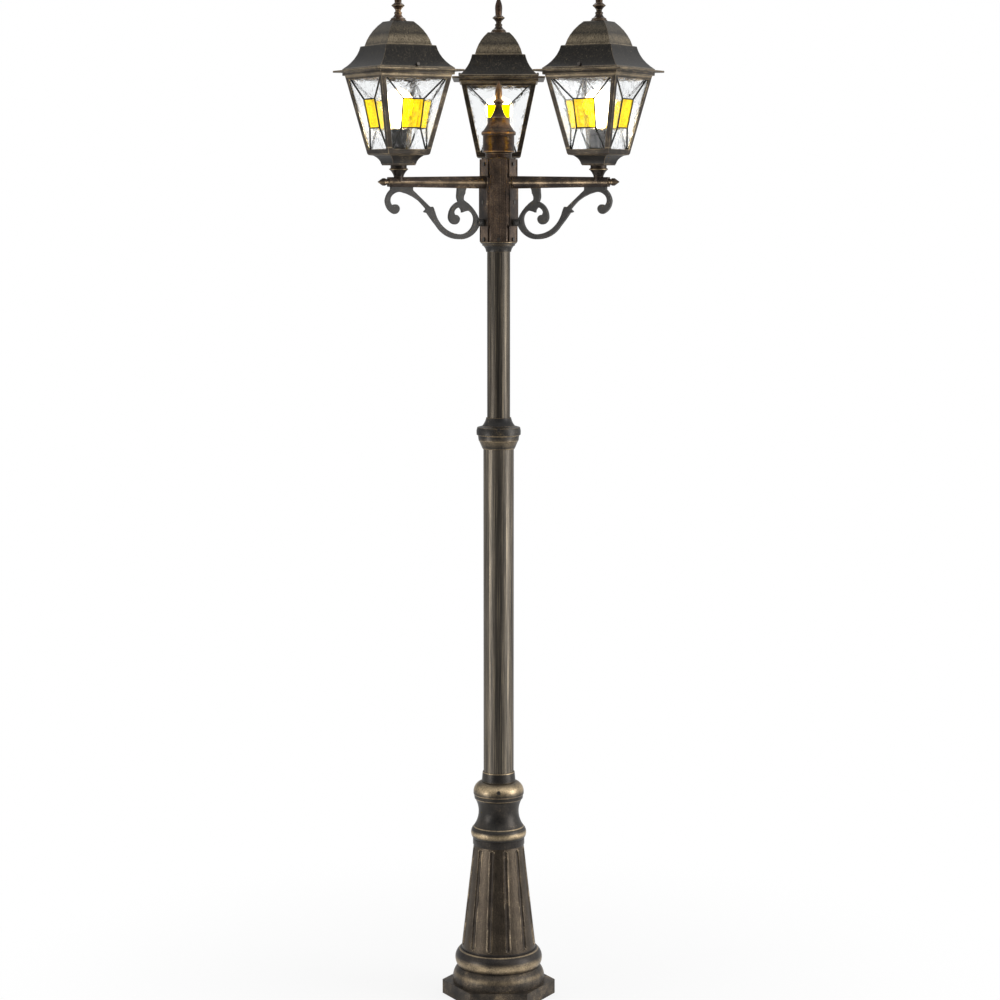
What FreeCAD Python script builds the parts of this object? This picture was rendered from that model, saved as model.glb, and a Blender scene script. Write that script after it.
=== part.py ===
import FreeCAD, Part
import math
import os
from types import SimpleNamespace

import Sketcher
from FreeCAD import Placement, Rotation, Vector

# Triple head lamp post: a turned and fluted foot, two tubes, a ribbed hub and three
# square lanterns on scrolled arms. Millimetres. The origin is the centre of the face on
# the ground, +Z is up and -Y is the front, which the third lantern stands behind.

SIZES = {
    # plinth
    "plinth_reach": 125.0,
    "plinth_height": 31.0,
    "shoulder_radius": 101.5,
    "shoulder_lip": 5.0,
    "shoulder_rise": 30.0,
    "shoulder_top_radius": 90.0,
    "foot_wall": 6.0,
    "floor_thick": 8.0,
    "socket_wall": 8.0,
    "socket_height": 50.0,
    "anchor_circle": 130.0,
    "anchor_hole": 11.0,
    "cable_hole": 36.0,
    # pedestal
    "pedestal_seat_radius": 88.0,
    "ring_step": 2.0,
    "ring_foot_radius": 91.0,
    "ring_height": 38.0,
    "ring_top_radius": 84.5,
    "bead_radius": 82.0,
    "bead_height": 4.0,
    "column_height": 229.0,
    "column_top_radius": 55.4,
    "band_radius": 57.0,
    "band_height": 13.0,
    "web_thick": 6.0,
    "flute_radius": 5.5,
    "flute_depth": 2.8,
    "flute_foot_margin": 9.0,
    "flute_top_margin": 15.0,
    # neck and sleeve
    "neck_seat_radius": 56.5,
    "neck_ring_height": 27.0,
    "bell_foot_radius": 54.9,
    "bell_rise": 33.0,
    "waist_radius": 44.3,
    "cup_rise": 28.0,
    "cup_radius": 51.7,
    "cup_band": 10.0,
    "vase_radius": 55.6,
    "vase_side": 8.0,
    "vase_rise": 21.0,
    "vase_top_radius": 39.0,
    "neck_wall": 5.2,
    "sleeve_foot_radius": 37.2,
    "sleeve_top_radius": 35.0,
    "sleeve_height": 22.0,
    # masts and the collar between them
    "slip": 0.3,
    "lower_radius": 33.3,
    "lower_wall": 4.0,
    "lower_length": 1241.0,
    "collar_depth": 30.0,
    "collar_web": 5.0,
    "collar_foot_radius": 34.9,
    "collar_step_radius": 42.7,
    "collar_step_height": 18.0,
    "collar_neck_radius": 45.2,
    "collar_band_radius": 48.2,
    "collar_band_height": 18.0,
    "collar_cone_radius": 36.0,
    "collar_top_radius": 27.2,
    "collar_height": 69.0,
    "upper_radius": 25.0,
    "upper_wall": 3.0,
    "upper_length": 436.0,
    "clamp_radius": 2.5,
    "clamp_head_radius": 4.2,
    "clamp_head": 4.0,
    "clamp_spot": 2.0,
    "clamp_rise": 6.0,
    "grub_radius": 3.0,
    # hub
    "hub_foot_height": 22.0,
    "hub_foot_radius": 27.0,
    "hub_foot_mid_radius": 33.3,
    "hub_foot_top_radius": 40.0,
    "hub_height": 178.0,
    "face_distance": 35.7,
    "face_width": 35.0,
    "rib_distance": 38.0,
    "rib_width": 33.0,
    "hub_cavity": 30.0,
    "socket_depth": 20.0,
    "hub_web": 4.0,
    "wire_hole": 22.0,
    "slot_width": 9.5,
    "slot_depth": 5.0,
    "top_slot_length": 42.0,
    "low_slot_length": 38.0,
    "screw_radius": 2.5,
    "screw_length": 10.2,
    "screw_head_radius": 4.2,
    "screw_head": 2.6,
    "screw_margin": 5.5,
    "screw_gap": 0.15,
    # cap and finial of the hub
    "cap_flange_radius": 33.0,
    "cap_flange": 3.0,
    "cap_neck_radius": 28.5,
    "cap_neck_height": 9.0,
    "cap_lower_ring_radius": 34.6,
    "cap_lower_ring": 6.0,
    "drum_radius": 33.9,
    "drum_height": 33.0,
    "cap_ring_radius": 38.6,
    "cap_ring": 12.0,
    "spigot_length": 16.0,
    "spigot_wall": 7.0,
    "cap_wall": 5.0,
    "rim_step": 2.6,
    "finial_foot_radius": 31.3,
    "finial_bell_height": 26.0,
    "finial_bell_radius": 21.8,
    "finial_cone_radius": 17.6,
    "finial_cone_height": 27.0,
    "finial_neck_radius": 7.0,
    "finial_bead": 11.6,
    "finial_bud_radius": 7.7,
    "finial_bud_height": 39.0,
    # connector block inside the hub
    "block_length": 30.0,
    "block_width": 17.0,
    "block_height": 18.0,
    "block_pitch": 9.0,
    "block_hole": 4.5,
    "block_shift": 9.5,
    # arms
    "arm_rise": 128.0,
    "lantern_radius": 244.0,
    "plate_thick": 3.5,
    "plate_drop": 94.5,
    "plate_screw_drop": 43.0,
    "plate_rise": 13.5,
    "arm_root_height": 27.0,
    "arm_end_height": 20.4,
    "arm_root_depth": 24.0,
    "arm_end_depth": 18.0,
    "ridge_root": 9.0,
    "ridge_end": 4.0,
    "arm_flat": 9.0,
    "arm_overhang": 25.0,
    "tip_neck_radius": 6.3,
    "tip_bead_radius": 8.0,
    "tip_length": 24.5,
    "boss_radius": 10.0,
    "boss_height": 11.0,
    # scrolls
    "scroll_thick": 8.0,
    "scroll_outset": 32.6,
    "scroll_drop": 108.5,
    "stub_radius": 7.6,
    "stub_length": 9.4,
    # stem, pan and the threaded tube through them
    "nipple_radius": 5.0,
    "nipple_wall": 1.3,
    "nipple_length": 66.0,
    "nipple_gap": 0.1,
    "stem_foot_radius": 10.6,
    "stem_cone_height": 14.0,
    "stem_rim_radius": 20.0,
    "stem_rim": 3.5,
    "stem_top_radius": 17.2,
    "stem_height": 24.0,
    "pan_foot_width": 53.0,
    "pan_lip": 2.5,
    "pan_cove_width": 77.0,
    "pan_cove_height": 17.0,
    "pan_rim_width": 96.0,
    "pan_rim": 4.0,
    # cage
    "cage_foot_width": 98.5,
    "cage_top_width": 168.0,
    "cage_height": 165.4,
    "cage_wall": 3.0,
    "cage_floor": 3.0,
    "bar_width": 10.5,
    "bottom_rail": 10.0,
    "top_rail": 9.0,
    "lip_width": 176.0,
    "lip_height": 6.8,
    "brim_width": 206.0,
    "brim_height": 4.2,
    "mouth_width": 124.0,
    "upstand_height": 16.0,
    "upstand_wall": 2.0,
    # panes
    "glass_thick": 3.0,
    "glass_gap": 0.2,
    "amber_top_width": 49.0,
    "amber_foot_width": 45.0,
    "amber_height": 60.0,
    "amber_level": 54.5,
    "lead_width": 2.6,
    "lead_thick": 4.0,
    "lead_heart": 1.0,
    # roof
    "roof_foot_width": 176.0,
    "roof_foot_lip": 3.0,
    "skirt_top_width": 118.5,
    "skirt_height": 47.0,
    "dome_foot_width": 105.5,
    "dome_top_width": 48.0,
    "dome_height": 50.0,
    "roof_wall": 4.0,
    "knob_radius": 3.4,
    "knob_length": 5.0,
    "knob_shank_radius": 2.0,
    "knob_level": 9.0,
    "knob_inset": 2.6,
    "stud_radius": 3.0,
    # finial on the roof
    "spire_foot_radius": 17.5,
    "spire_foot": 3.0,
    "spire_rim_radius": 15.5,
    "spire_rim": 4.0,
    "spire_neck_radius": 7.2,
    "spire_cone_height": 8.0,
    "spire_ring_radius": 8.2,
    "spire_ring": 5.0,
    "spire_bead_neck_radius": 6.0,
    "spire_bead_neck_height": 4.0,
    "spire_bead_radius": 13.8,
    "spire_bead": 15.0,
    "spire_bud_radius": 8.2,
    "spire_bud_height": 41.0,
    # lampholder and bulb
    "holder_radius": 17.5,
    "holder_base": 12.0,
    "holder_height": 50.0,
    "holder_skirt_radius": 19.0,
    "holder_skirt": 9.0,
    "holder_bore": 13.6,
    "holder_seat": 26.0,
    "cap_gap": 0.3,
    "bulb_cap_height": 26.0,
    "bulb_neck_radius": 14.5,
    "bulb_radius": 30.0,
    "bulb_height": 108.0,
    "bulb_wall": 1.0,
}

ARMS = {"left": 210.0, "right": 330.0, "rear": 90.0}
FRONT = 270.0
FLUTES = 12
ANCHORS = 3
# The scroll's outline is drawn once, in millimetres out from the mast and down from the arm,
# between these limits, and stretches with the sizes above.
DRAWN_EDGE = 48.6
DRAWN_SPAN = 228.0
DRAWN_TOP = 13.5
DRAWN_DROP = 108.5


class Size:
    """A size: its number now, and the formula that keeps it tied to the sheet."""

    def __init__(self, number, formula):
        self.number = float(number)
        self.formula = formula

    def __add__(self, other):
        other = as_size(other)
        return Size(self.number + other.number, f"({self.formula} + {other.formula})")

    def __sub__(self, other):
        other = as_size(other)
        return Size(self.number - other.number, f"({self.formula} - {other.formula})")

    def __mul__(self, other):
        other = as_size(other)
        return Size(self.number * other.number, f"({self.formula} * {other.formula})")

    def __truediv__(self, other):
        other = as_size(other)
        return Size(self.number / other.number, f"({self.formula} / {other.formula})")

    def __neg__(self):
        return Size(-self.number, f"(0 - {self.formula})")


def as_size(value):
    return value if isinstance(value, Size) else Size(value, repr(float(value)))


def root(size):
    return Size(math.sqrt(size.number), f"sqrt({size.formula})")


def slope_angle(across, along):
    """The angle in degrees whose tangent is across / along."""
    ratio = across / along
    return Size(math.degrees(math.atan(ratio.number)), f"(atan({ratio.formula}) / 1deg)")


def make_sheet(doc):
    sheet = doc.addObject("Spreadsheet::Sheet", "Sizes")
    for row, (name, value) in enumerate(SIZES.items(), start=1):
        sheet.set(f"A{row}", name)
        sheet.set(f"B{row}", str(value))
        sheet.setAlias(f"B{row}", name)
    doc.recompute()
    return SimpleNamespace(**{name: Size(value, f"Sizes.{name}") for name, value in SIZES.items()})


doc = FreeCAD.newDocument("LampPost")
s = make_sheet(doc)
nodes = []


# ---------------------------------------------------------------- drawing helpers


def new_body(label):
    body = doc.addObject("PartDesign::Body", label)
    body.Label = label
    return body


def origin_part(body, role):
    return next(part for part in body.Origin.OriginFeatures if part.Role == role)


def bind(item, name, size):
    """Set a property from a size and keep it tied to the sheet."""
    item.setExpression(name, as_size(size).formula)


def new_sketch(body, plane, lift=0.0, spin=0.0):
    """A sketch lifted off an origin plane; on an upright plane, spin turns both about the axis."""
    sketch = body.newObject("Sketcher::SketchObject", body.Label + "_sketch")
    sketch.AttachmentSupport = [(origin_part(body, plane), "")]
    sketch.MapMode = "FlatFace"
    sketch.AttachmentOffset = Placement(Vector(), Rotation(Vector(0, 1, 0), spin))
    bind(sketch, "AttachmentOffset.Base.x", as_size(lift) * math.sin(math.radians(spin)))
    bind(sketch, "AttachmentOffset.Base.z", as_size(lift) * math.cos(math.radians(spin)))
    return sketch


def tilted_sketch(body, plane, axis, lean, spot):
    """A sketch on an origin plane, set at a spot and leant about one of its own axes."""
    sketch = new_sketch(body, plane)
    sketch.AttachmentOffset = Placement(Vector(), Rotation(Vector(*axis), lean.number))
    bind(sketch, "AttachmentOffset.Rotation.Angle", lean)
    for name, size in zip("xyz", spot):
        bind(sketch, f"AttachmentOffset.Base.{name}", size)
    return sketch


def loose_sketch(label, plane):
    """A sketch outside any body, upright across X or across Y."""
    sketch = doc.addObject("Sketcher::SketchObject", label)
    upright = Rotation(Vector(1, 0, 0), 90)
    turns = {"XZ": upright, "YZ": Rotation(Vector(0, 0, 1), 90) * upright}
    sketch.Placement = Placement(Vector(), turns[plane])
    return sketch


def fix(sketch, kind, geometry, point, size):
    """Hold one coordinate of a point at a size, measured from the sketch's origin."""
    size = as_size(size)
    if abs(size.number) < 1e-9:
        axis = -2 if kind == "DistanceX" else -1
        sketch.addConstraint(Sketcher.Constraint("PointOnObject", geometry, point, axis))
        return
    held = Sketcher.Constraint(kind, -1, 1, geometry, point, size.number)
    index = sketch.addConstraint(held)
    bind(sketch, f"Constraints[{index}]", size)


def draw(sketch, corners):
    """Close an outline through corners of (across, up) or (across, up, sweep).

    A sweep makes the stretch to the next corner an arc of that many degrees, which turns
    anticlockwise when positive."""
    spots = [(as_size(c[0]), as_size(c[1]), c[2] if len(c) > 2 else 0.0) for c in corners]
    edges = []
    for here, there in zip(spots, spots[1:] + spots[:1]):
        start = Vector(here[0].number, here[1].number, 0)
        finish = Vector(there[0].number, there[1].number, 0)
        if here[2]:
            index = sketch.addGeometry(arc_between(start, finish, here[2]), False)
            ends = (1, 2) if here[2] > 0 else (2, 1)
        else:
            index = sketch.addGeometry(Part.LineSegment(start, finish), False)
            ends = (1, 2)
        edges.append((index, ends))
    for position, (index, ends) in enumerate(edges):
        after, after_ends = edges[(position + 1) % len(edges)]
        joined = Sketcher.Constraint("Coincident", index, ends[1], after, after_ends[0])
        sketch.addConstraint(joined)
    for (index, ends), spot in zip(edges, spots):
        fix(sketch, "DistanceX", index, ends[0], spot[0])
        fix(sketch, "DistanceY", index, ends[0], spot[1])
    for position, spot in enumerate(spots):
        if spot[2]:
            there = spots[(position + 1) % len(spots)]
            across = there[0] - spot[0]
            along = there[1] - spot[1]
            chord = root(across * across + along * along)
            radius = chord / (2.0 * math.sin(math.radians(abs(spot[2])) / 2.0))
            index = edges[position][0]
            held = sketch.addConstraint(Sketcher.Constraint("Radius", index, radius.number))
            bind(sketch, f"Constraints[{held}]", radius)


def arc_between(start, finish, sweep):
    """The arc of a sweep in degrees from start to finish, anticlockwise when positive."""
    half = math.radians(abs(sweep)) / 2.0
    chord = finish - start
    radius = chord.Length / (2.0 * math.sin(half))
    side = Vector(-chord.y, chord.x, 0).normalize() * (radius * math.cos(half))
    if sweep < 0:
        side = side.negative()
        start, finish = finish, start
    centre = (start + finish) * 0.5 + side
    first = math.atan2(start.y - centre.y, start.x - centre.x)
    circle = Part.Circle(centre, Vector(0, 0, 1), radius)
    return Part.ArcOfCircle(circle, first, first + 2.0 * half)


def circle(sketch, across, up, radius):
    """A full circle round a point."""
    spot = Vector(as_size(across).number, as_size(up).number, 0)
    round_one = Part.Circle(spot, Vector(0, 0, 1), as_size(radius).number)
    index = sketch.addGeometry(round_one, False)
    fix(sketch, "DistanceX", index, 3, across)
    fix(sketch, "DistanceY", index, 3, up)
    held = sketch.addConstraint(Sketcher.Constraint("Radius", index, as_size(radius).number))
    bind(sketch, f"Constraints[{held}]", radius)


def pad(body, sketch, length, middle=False, backwards=False):
    feature = body.newObject("PartDesign::Pad", body.Label + "_pad")
    feature.Profile = sketch
    bind(feature, "Length", length)
    feature.SideType = "Symmetric" if middle else "One side"
    feature.Reversed = backwards
    return feature


def pocket(body, sketch, depth, middle=False, backwards=False):
    feature = body.newObject("PartDesign::Pocket", body.Label + "_pocket")
    feature.Profile = sketch
    bind(feature, "Length", depth)
    feature.SideType = "Symmetric" if middle else "One side"
    feature.Reversed = backwards
    return feature


def revolve(body, sketch, axis="V_Axis", cut=False):
    kind = "PartDesign::Groove" if cut else "PartDesign::Revolution"
    feature = body.newObject(kind, body.Label + "_turn")
    feature.Profile = sketch
    feature.ReferenceAxis = (sketch, [axis])
    feature.Angle = 360.0
    return feature


def around(body, features, count):
    """Repeat features evenly about the body's upright axis."""
    pattern = body.newObject("PartDesign::PolarPattern", body.Label + "_around")
    pattern.Originals = features
    pattern.Axis = (origin_part(body, "Z_Axis"), [""])
    pattern.Angle = 360.0
    pattern.Occurrences = count
    body.Tip = pattern
    return pattern


def turned(label, corners):
    """A body turned about its upright axis from an outline of (radius, height)."""
    body = new_body(label)
    sketch = new_sketch(body, "XZ_Plane")
    draw(sketch, corners)
    revolve(body, sketch)
    return body


def pointed_end(radius, foot, length):
    """The side of a bud from its widest part up to its blunt tip, in short chords."""
    rings = [index / 5.0 for index in range(6)]
    side = [(radius * (1.0 - 0.93 * ring ** 1.8), foot + length * ring) for ring in rings]
    return side + [(0.0, foot + length)]


def drill(body, height, radius, start, depth, count=1, spin=0.0):
    """Drill level holes outwards from a distance off the axis, evenly about it."""
    sketch = new_sketch(body, "YZ_Plane", lift=start, spin=spin)
    circle(sketch, 0.0, height, radius)
    hole = pocket(body, sketch, depth, backwards=True)
    if count > 1:
        around(body, [hole], count)


def extrude(label, sketch, across, length):
    """A loose sketch drawn out both ways along X or Y."""
    prism = doc.addObject("Part::Extrusion", label)
    prism.Base = sketch
    prism.DirMode = "Custom"
    prism.Dir = Vector(1, 0, 0) if across == "X" else Vector(0, 1, 0)
    prism.Solid = True
    prism.Symmetric = True
    bind(prism, "LengthFwd", length)
    return prism


def square_form(label, side, width):
    """The solid whose level sections are squares: two upright prisms that cross.

    side lists (half width, height) or (half width, height, sweep) from the foot up, and
    width is more than the widest square."""
    sweeps = [0.0] + [corner[2] if len(corner) > 2 else 0.0 for corner in side]
    left = [(-corner[0], corner[1], sweep) for corner, sweep in zip(side, sweeps)]
    corners = list(side) + left[::-1]
    prisms = []
    for plane, across in (("XZ", "Y"), ("YZ", "X")):
        sketch = loose_sketch(f"{label}_{plane}", plane)
        draw(sketch, corners)
        prisms.append(extrude(f"{label}_{across}", sketch, across, width))
    form = doc.addObject("Part::Common", label)
    form.Base, form.Tool = prisms
    return form


def cut(label, base, tool):
    result = doc.addObject("Part::Cut", label)
    result.Base = base
    result.Tool = tool
    return result


def fuse(label, pieces):
    result = doc.addObject("Part::MultiFuse", label)
    result.Shapes = pieces
    result.Refine = True
    return result


def block(label, length, width, height, x, y, z):
    """A box set by its size and its lowest corner."""
    box = doc.addObject("Part::Box", label)
    for name, size in zip(("Length", "Width", "Height"), (length, width, height)):
        bind(box, name, size)
    for name, size in zip("xyz", (x, y, z)):
        bind(box, f"Placement.Base.{name}", size)
    return box


def rod(label, radius, height, z, direction=(0, 0, 1), x=0.0, y=0.0):
    """A cylinder from a point along a direction."""
    cylinder = doc.addObject("Part::Cylinder", label)
    bind(cylinder, "Radius", radius)
    bind(cylinder, "Height", height)
    cylinder.Placement = Placement(Vector(), Rotation(Vector(0, 0, 1), Vector(*direction)))
    for name, size in zip("xyz", (x, y, z)):
        bind(cylinder, f"Placement.Base.{name}", size)
    return cylinder


def keep(piece, label, level=0.0, radius=0.0, angle=0.0):
    """Name a finished sub-part and set it at a height, and a distance out at an angle."""
    piece.Label = label
    piece.Placement = Placement(Vector(), Rotation(Vector(0, 0, 1), angle))
    across = as_size(radius) * math.cos(math.radians(angle))
    along = as_size(radius) * math.sin(math.radians(angle))
    bind(piece, "Placement.Base.x", across)
    bind(piece, "Placement.Base.y", along)
    bind(piece, "Placement.Base.z", level)
    nodes.append(piece)
    return piece


# ---------------------------------------------------------------- heights and shared sizes

pedestal_level = s.plinth_height + s.shoulder_lip + s.shoulder_rise
column_foot = s.ring_step + s.ring_height + s.bead_height
column_top = column_foot + s.column_height
pedestal_height = column_top + s.ring_step + s.band_height
neck_level = pedestal_level + pedestal_height
waist_level = s.neck_ring_height + s.bell_rise
cup_level = waist_level + s.cup_rise
vase_level = cup_level + s.cup_band
neck_height = vase_level + s.vase_side + s.vase_rise
sleeve_level = neck_level + neck_height
mast_bore = s.lower_radius + s.slip
upper_bore = s.upper_radius + s.slip
lower_top = s.floor_thick + s.lower_length
collar_level = lower_top - s.collar_depth
upper_level = lower_top + s.collar_web
hub_level = upper_level + s.upper_length - s.socket_depth
arm_level = hub_level + s.arm_rise
cap_level = hub_level + s.hub_height
drum_top = s.cap_flange + s.cap_neck_height + s.cap_lower_ring + s.drum_height
rim_radius = s.drum_radius - s.rim_step
plate_face = s.face_distance + s.plate_thick
top_screw = s.hub_height - s.screw_margin * 2.0
screw_hole = s.screw_radius + s.screw_gap
clamp_hole = s.clamp_radius + s.screw_gap
clamp_spot = s.clamp_head_radius + s.slip
neck_clamp = vase_level + s.vase_side + s.clamp_rise
neck_clamp_seat = s.vase_radius - s.clamp_spot
collar_clamp = s.collar_depth + s.collar_band_height - s.clamp_head_radius + 1.2
collar_clamp_seat = s.collar_band_radius - s.clamp_spot


# ---------------------------------------------------------------- foot


def make_plinth():
    """Six-sided foot with a rounded shoulder, open above, with the mast's socket in its floor."""
    body = new_body("plinth")
    hexagon = new_sketch(body, "XY_Plane")
    flat = s.plinth_reach * math.cos(math.radians(30.0))
    half = s.plinth_reach * 0.5
    draw(hexagon, [(flat, half), (0.0, s.plinth_reach), (-flat, half),
                   (-flat, -half), (0.0, -s.plinth_reach), (flat, -half)])
    pad(body, hexagon, s.plinth_height)
    shoulder = new_sketch(body, "XZ_Plane")
    lip = s.plinth_height + s.shoulder_lip
    draw(shoulder, [
        (0.0, s.floor_thick),
        (s.shoulder_radius, s.floor_thick),
        (s.shoulder_radius, lip, 52.0),
        (s.shoulder_top_radius, pedestal_level),
        (0.0, pedestal_level),
    ])
    revolve(body, shoulder)
    well = new_sketch(body, "XZ_Plane")
    socket_outside = mast_bore + s.socket_wall
    socket_top = s.floor_thick + s.socket_height
    well_radius = s.shoulder_top_radius - s.foot_wall
    draw(well, [
        (socket_outside, s.floor_thick),
        (well_radius, s.floor_thick),
        (well_radius, pedestal_level + 1.0),
        (0.0, pedestal_level + 1.0),
        (0.0, socket_top),
        (socket_outside, socket_top),
    ])
    revolve(body, well, cut=True)
    socket = new_sketch(body, "XY_Plane", lift=s.floor_thick)
    circle(socket, 0.0, 0.0, mast_bore)
    pocket(body, socket, s.socket_height + 1.0, backwards=True)
    entry = new_sketch(body, "XY_Plane")
    circle(entry, 0.0, 0.0, s.cable_hole / 2.0)
    pocket(body, entry, s.floor_thick, backwards=True)
    anchor = new_sketch(body, "XY_Plane")
    circle(anchor, s.anchor_circle / 2.0, 0.0, s.anchor_hole / 2.0)
    bolt_hole = pocket(body, anchor, s.floor_thick, backwards=True)
    around(body, [bolt_hole], ANCHORS)
    drill(body, s.floor_thick + s.socket_height * 0.7, s.grub_radius + s.screw_gap,
          s.lower_radius, s.socket_wall * 1.5, count=3)
    keep(body, "plinth", angle=30.0)


def make_foot_screws():
    """Grub screws that hold the mast's foot in the socket."""
    body = new_body("foot_screws")
    sketch = new_sketch(body, "YZ_Plane", lift=mast_bore)
    circle(sketch, 0.0, s.floor_thick + s.socket_height * 0.7, s.grub_radius)
    screw = pad(body, sketch, s.socket_wall + 2.0)
    around(body, [screw], 3)
    keep(body, "foot_screws", angle=30.0)


def make_pedestal():
    """Slip-on cover: a half-round ring, a tapered column with round-ended flutes, a band."""
    wall = s.foot_wall
    body = turned("pedestal", [
        (s.pedestal_seat_radius, 0.0),
        (s.pedestal_seat_radius, s.ring_step),
        (s.ring_foot_radius, s.ring_step, 95.0),
        (s.ring_top_radius, s.ring_step + s.ring_height),
        (s.bead_radius, s.ring_step + s.ring_height),
        (s.bead_radius, column_foot),
        (s.column_top_radius, column_top),
        (s.band_radius, column_top + s.ring_step),
        (s.band_radius, pedestal_height),
        (mast_bore, pedestal_height),
        (mast_bore, pedestal_height - s.web_thick),
        (s.column_top_radius - wall, pedestal_height - s.web_thick),
        (s.column_top_radius - wall, column_top),
        (s.bead_radius - wall, column_foot),
        (s.pedestal_seat_radius - wall, s.ring_step),
        (s.pedestal_seat_radius - wall, 0.0),
    ])
    lean = slope_angle(s.bead_radius - s.column_top_radius, s.column_height)
    proud = s.flute_radius - s.flute_depth
    spot = (s.bead_radius + proud, column_foot, 0.0)
    flute = tilted_sketch(body, "XZ_Plane", (0, 0, 1), lean, spot)
    first = s.flute_foot_margin + s.flute_radius
    last = s.column_height - s.flute_top_margin - s.flute_radius
    draw(flute, [
        (0.0, first - s.flute_radius, -90.0),
        (-s.flute_radius, first),
        (-s.flute_radius, last, -90.0),
        (0.0, last + s.flute_radius),
    ])
    cut_one = revolve(body, flute, cut=True)
    around(body, [cut_one], FLUTES)
    keep(body, "pedestal", pedestal_level, angle=15.0)


def make_neck():
    """Slip-on casting: half-round ring, waisted bell, beaded cup and rounded vase."""
    wall = s.neck_wall
    body = turned("neck", [
        (s.neck_seat_radius, 0.0, 88.0),
        (s.bell_foot_radius, s.neck_ring_height, -35.6),
        (s.waist_radius, waist_level, -29.6),
        (s.cup_radius, cup_level),
        (s.cup_radius + 1.6, cup_level + 1.0),
        (s.vase_radius - 1.2, vase_level),
        (s.vase_radius, vase_level + 1.0),
        (s.vase_radius, vase_level + s.vase_side, 67.0),
        (s.vase_top_radius, neck_height),
        (mast_bore, neck_height),
        (mast_bore, vase_level),
        (s.cup_radius - wall, cup_level),
        (s.waist_radius - wall, waist_level + wall),
        (s.waist_radius - wall, waist_level - wall),
        (s.bell_foot_radius - wall, s.neck_ring_height),
        (s.bell_foot_radius - wall, 0.0),
    ])
    drill(body, neck_clamp, clamp_hole, s.lower_radius - 1.0,
          s.vase_radius - s.lower_radius + 2.0)
    drill(body, neck_clamp, clamp_spot, neck_clamp_seat, s.clamp_spot + 1.0)
    keep(body, "neck", neck_level, angle=FRONT)


def make_sleeve():
    """Plain ring that closes the neck round the mast."""
    body = turned("sleeve", [
        (mast_bore, 0.0),
        (s.sleeve_foot_radius, 0.0),
        (s.sleeve_foot_radius, 2.0),
        (s.sleeve_top_radius + 0.5, s.sleeve_height - 1.5),
        (s.sleeve_top_radius, s.sleeve_height),
        (mast_bore, s.sleeve_height),
    ])
    keep(body, "sleeve", sleeve_level)


# ---------------------------------------------------------------- masts


def make_tube(label, radius, wall, length, level):
    body = turned(label, [
        (radius - wall, 0.0),
        (radius, 0.0),
        (radius, length),
        (radius - wall, length),
    ])
    keep(body, label, level)


def make_mast_collar():
    """Reducer: a cone, a step and a band below, a scotia above, with a web between two sockets."""
    step = s.collar_step_height
    neck_top = s.collar_depth + 1.0
    band_top = neck_top + s.collar_band_height
    body = turned("mast_collar", [
        (mast_bore, 0.0),
        (s.collar_foot_radius, 0.0),
        (s.collar_foot_radius + 1.8, 4.0),
        (s.collar_step_radius, step),
        (s.collar_step_radius + 1.0, step + 0.5),
        (s.collar_neck_radius, neck_top - 1.0),
        (s.collar_band_radius, neck_top),
        (s.collar_band_radius + 0.3, (neck_top + band_top) / 2.0),
        (s.collar_band_radius - 1.4, band_top - 1.5),
        (s.collar_cone_radius, band_top + 1.5, -34.0),
        (s.collar_top_radius, s.collar_height),
        (upper_bore, s.collar_height),
        (upper_bore, s.collar_depth + s.collar_web),
        (s.upper_radius - s.upper_wall, s.collar_depth + s.collar_web),
        (s.upper_radius - s.upper_wall, s.collar_depth),
        (mast_bore, s.collar_depth),
    ])
    drill(body, collar_clamp, clamp_hole, s.upper_radius - 1.0,
          s.collar_band_radius - s.upper_radius + 3.0)
    drill(body, collar_clamp, clamp_spot, collar_clamp_seat, s.clamp_spot + 1.0)
    keep(body, "mast_collar", collar_level, angle=FRONT)


def make_set_screws():
    """The two clamping screws, each with a round head and a hexagon socket in it."""
    body = new_body("set_screws")
    for level, tip, seat in (
        (neck_level + neck_clamp, mast_bore, neck_clamp_seat),
        (collar_level + collar_clamp, upper_bore, collar_clamp_seat),
    ):
        shank = new_sketch(body, "YZ_Plane", lift=tip)
        circle(shank, 0.0, level, s.clamp_radius)
        pad(body, shank, seat - tip + 0.5)
        head = new_sketch(body, "YZ_Plane", lift=seat + 0.3)
        circle(head, 0.0, level, s.clamp_head_radius)
        pad(body, head, s.clamp_head)
        socket = new_sketch(body, "YZ_Plane", lift=seat + 0.3 + s.clamp_head)
        reach = s.clamp_radius - 0.2
        corners = []
        for turn in range(6):
            across = reach * math.cos(math.radians(60.0 * turn))
            corners.append((across, level + reach * math.sin(math.radians(60.0 * turn))))
        draw(socket, corners)
        pocket(body, socket, s.clamp_head * 0.6)
    keep(body, "set_screws", angle=FRONT)


# ---------------------------------------------------------------- hub


def make_hub_foot():
    """Moulded ring between the upper mast and the hub."""
    body = turned("hub_foot", [
        (upper_bore, 0.0),
        (s.hub_foot_radius, 0.0, -40.0),
        (s.hub_foot_mid_radius, s.hub_foot_height - 9.0),
        (s.hub_foot_mid_radius + 2.2, s.hub_foot_height - 8.5),
        (s.hub_foot_mid_radius + 2.4, s.hub_foot_height - 5.5),
        (s.hub_foot_top_radius, s.hub_foot_height - 2.0),
        (s.hub_foot_top_radius, s.hub_foot_height),
        (upper_bore, s.hub_foot_height),
    ])
    keep(body, "hub_foot", hub_level - s.hub_foot_height)


def hub_outline():
    """Three flat faces for the arms and three ribs between them, the first face towards +X."""
    corners = []
    for turn in range(0, 360, 120):
        for angle, out, wide in ((turn, s.face_distance, s.face_width),
                                 (turn + 60, s.rib_distance, s.rib_width)):
            cosine = math.cos(math.radians(angle))
            sine = math.sin(math.radians(angle))
            for side in (-0.5, 0.5):
                across = out * cosine - wide * side * sine
                corners.append((across, out * sine + wide * side * cosine))
    return corners


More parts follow.
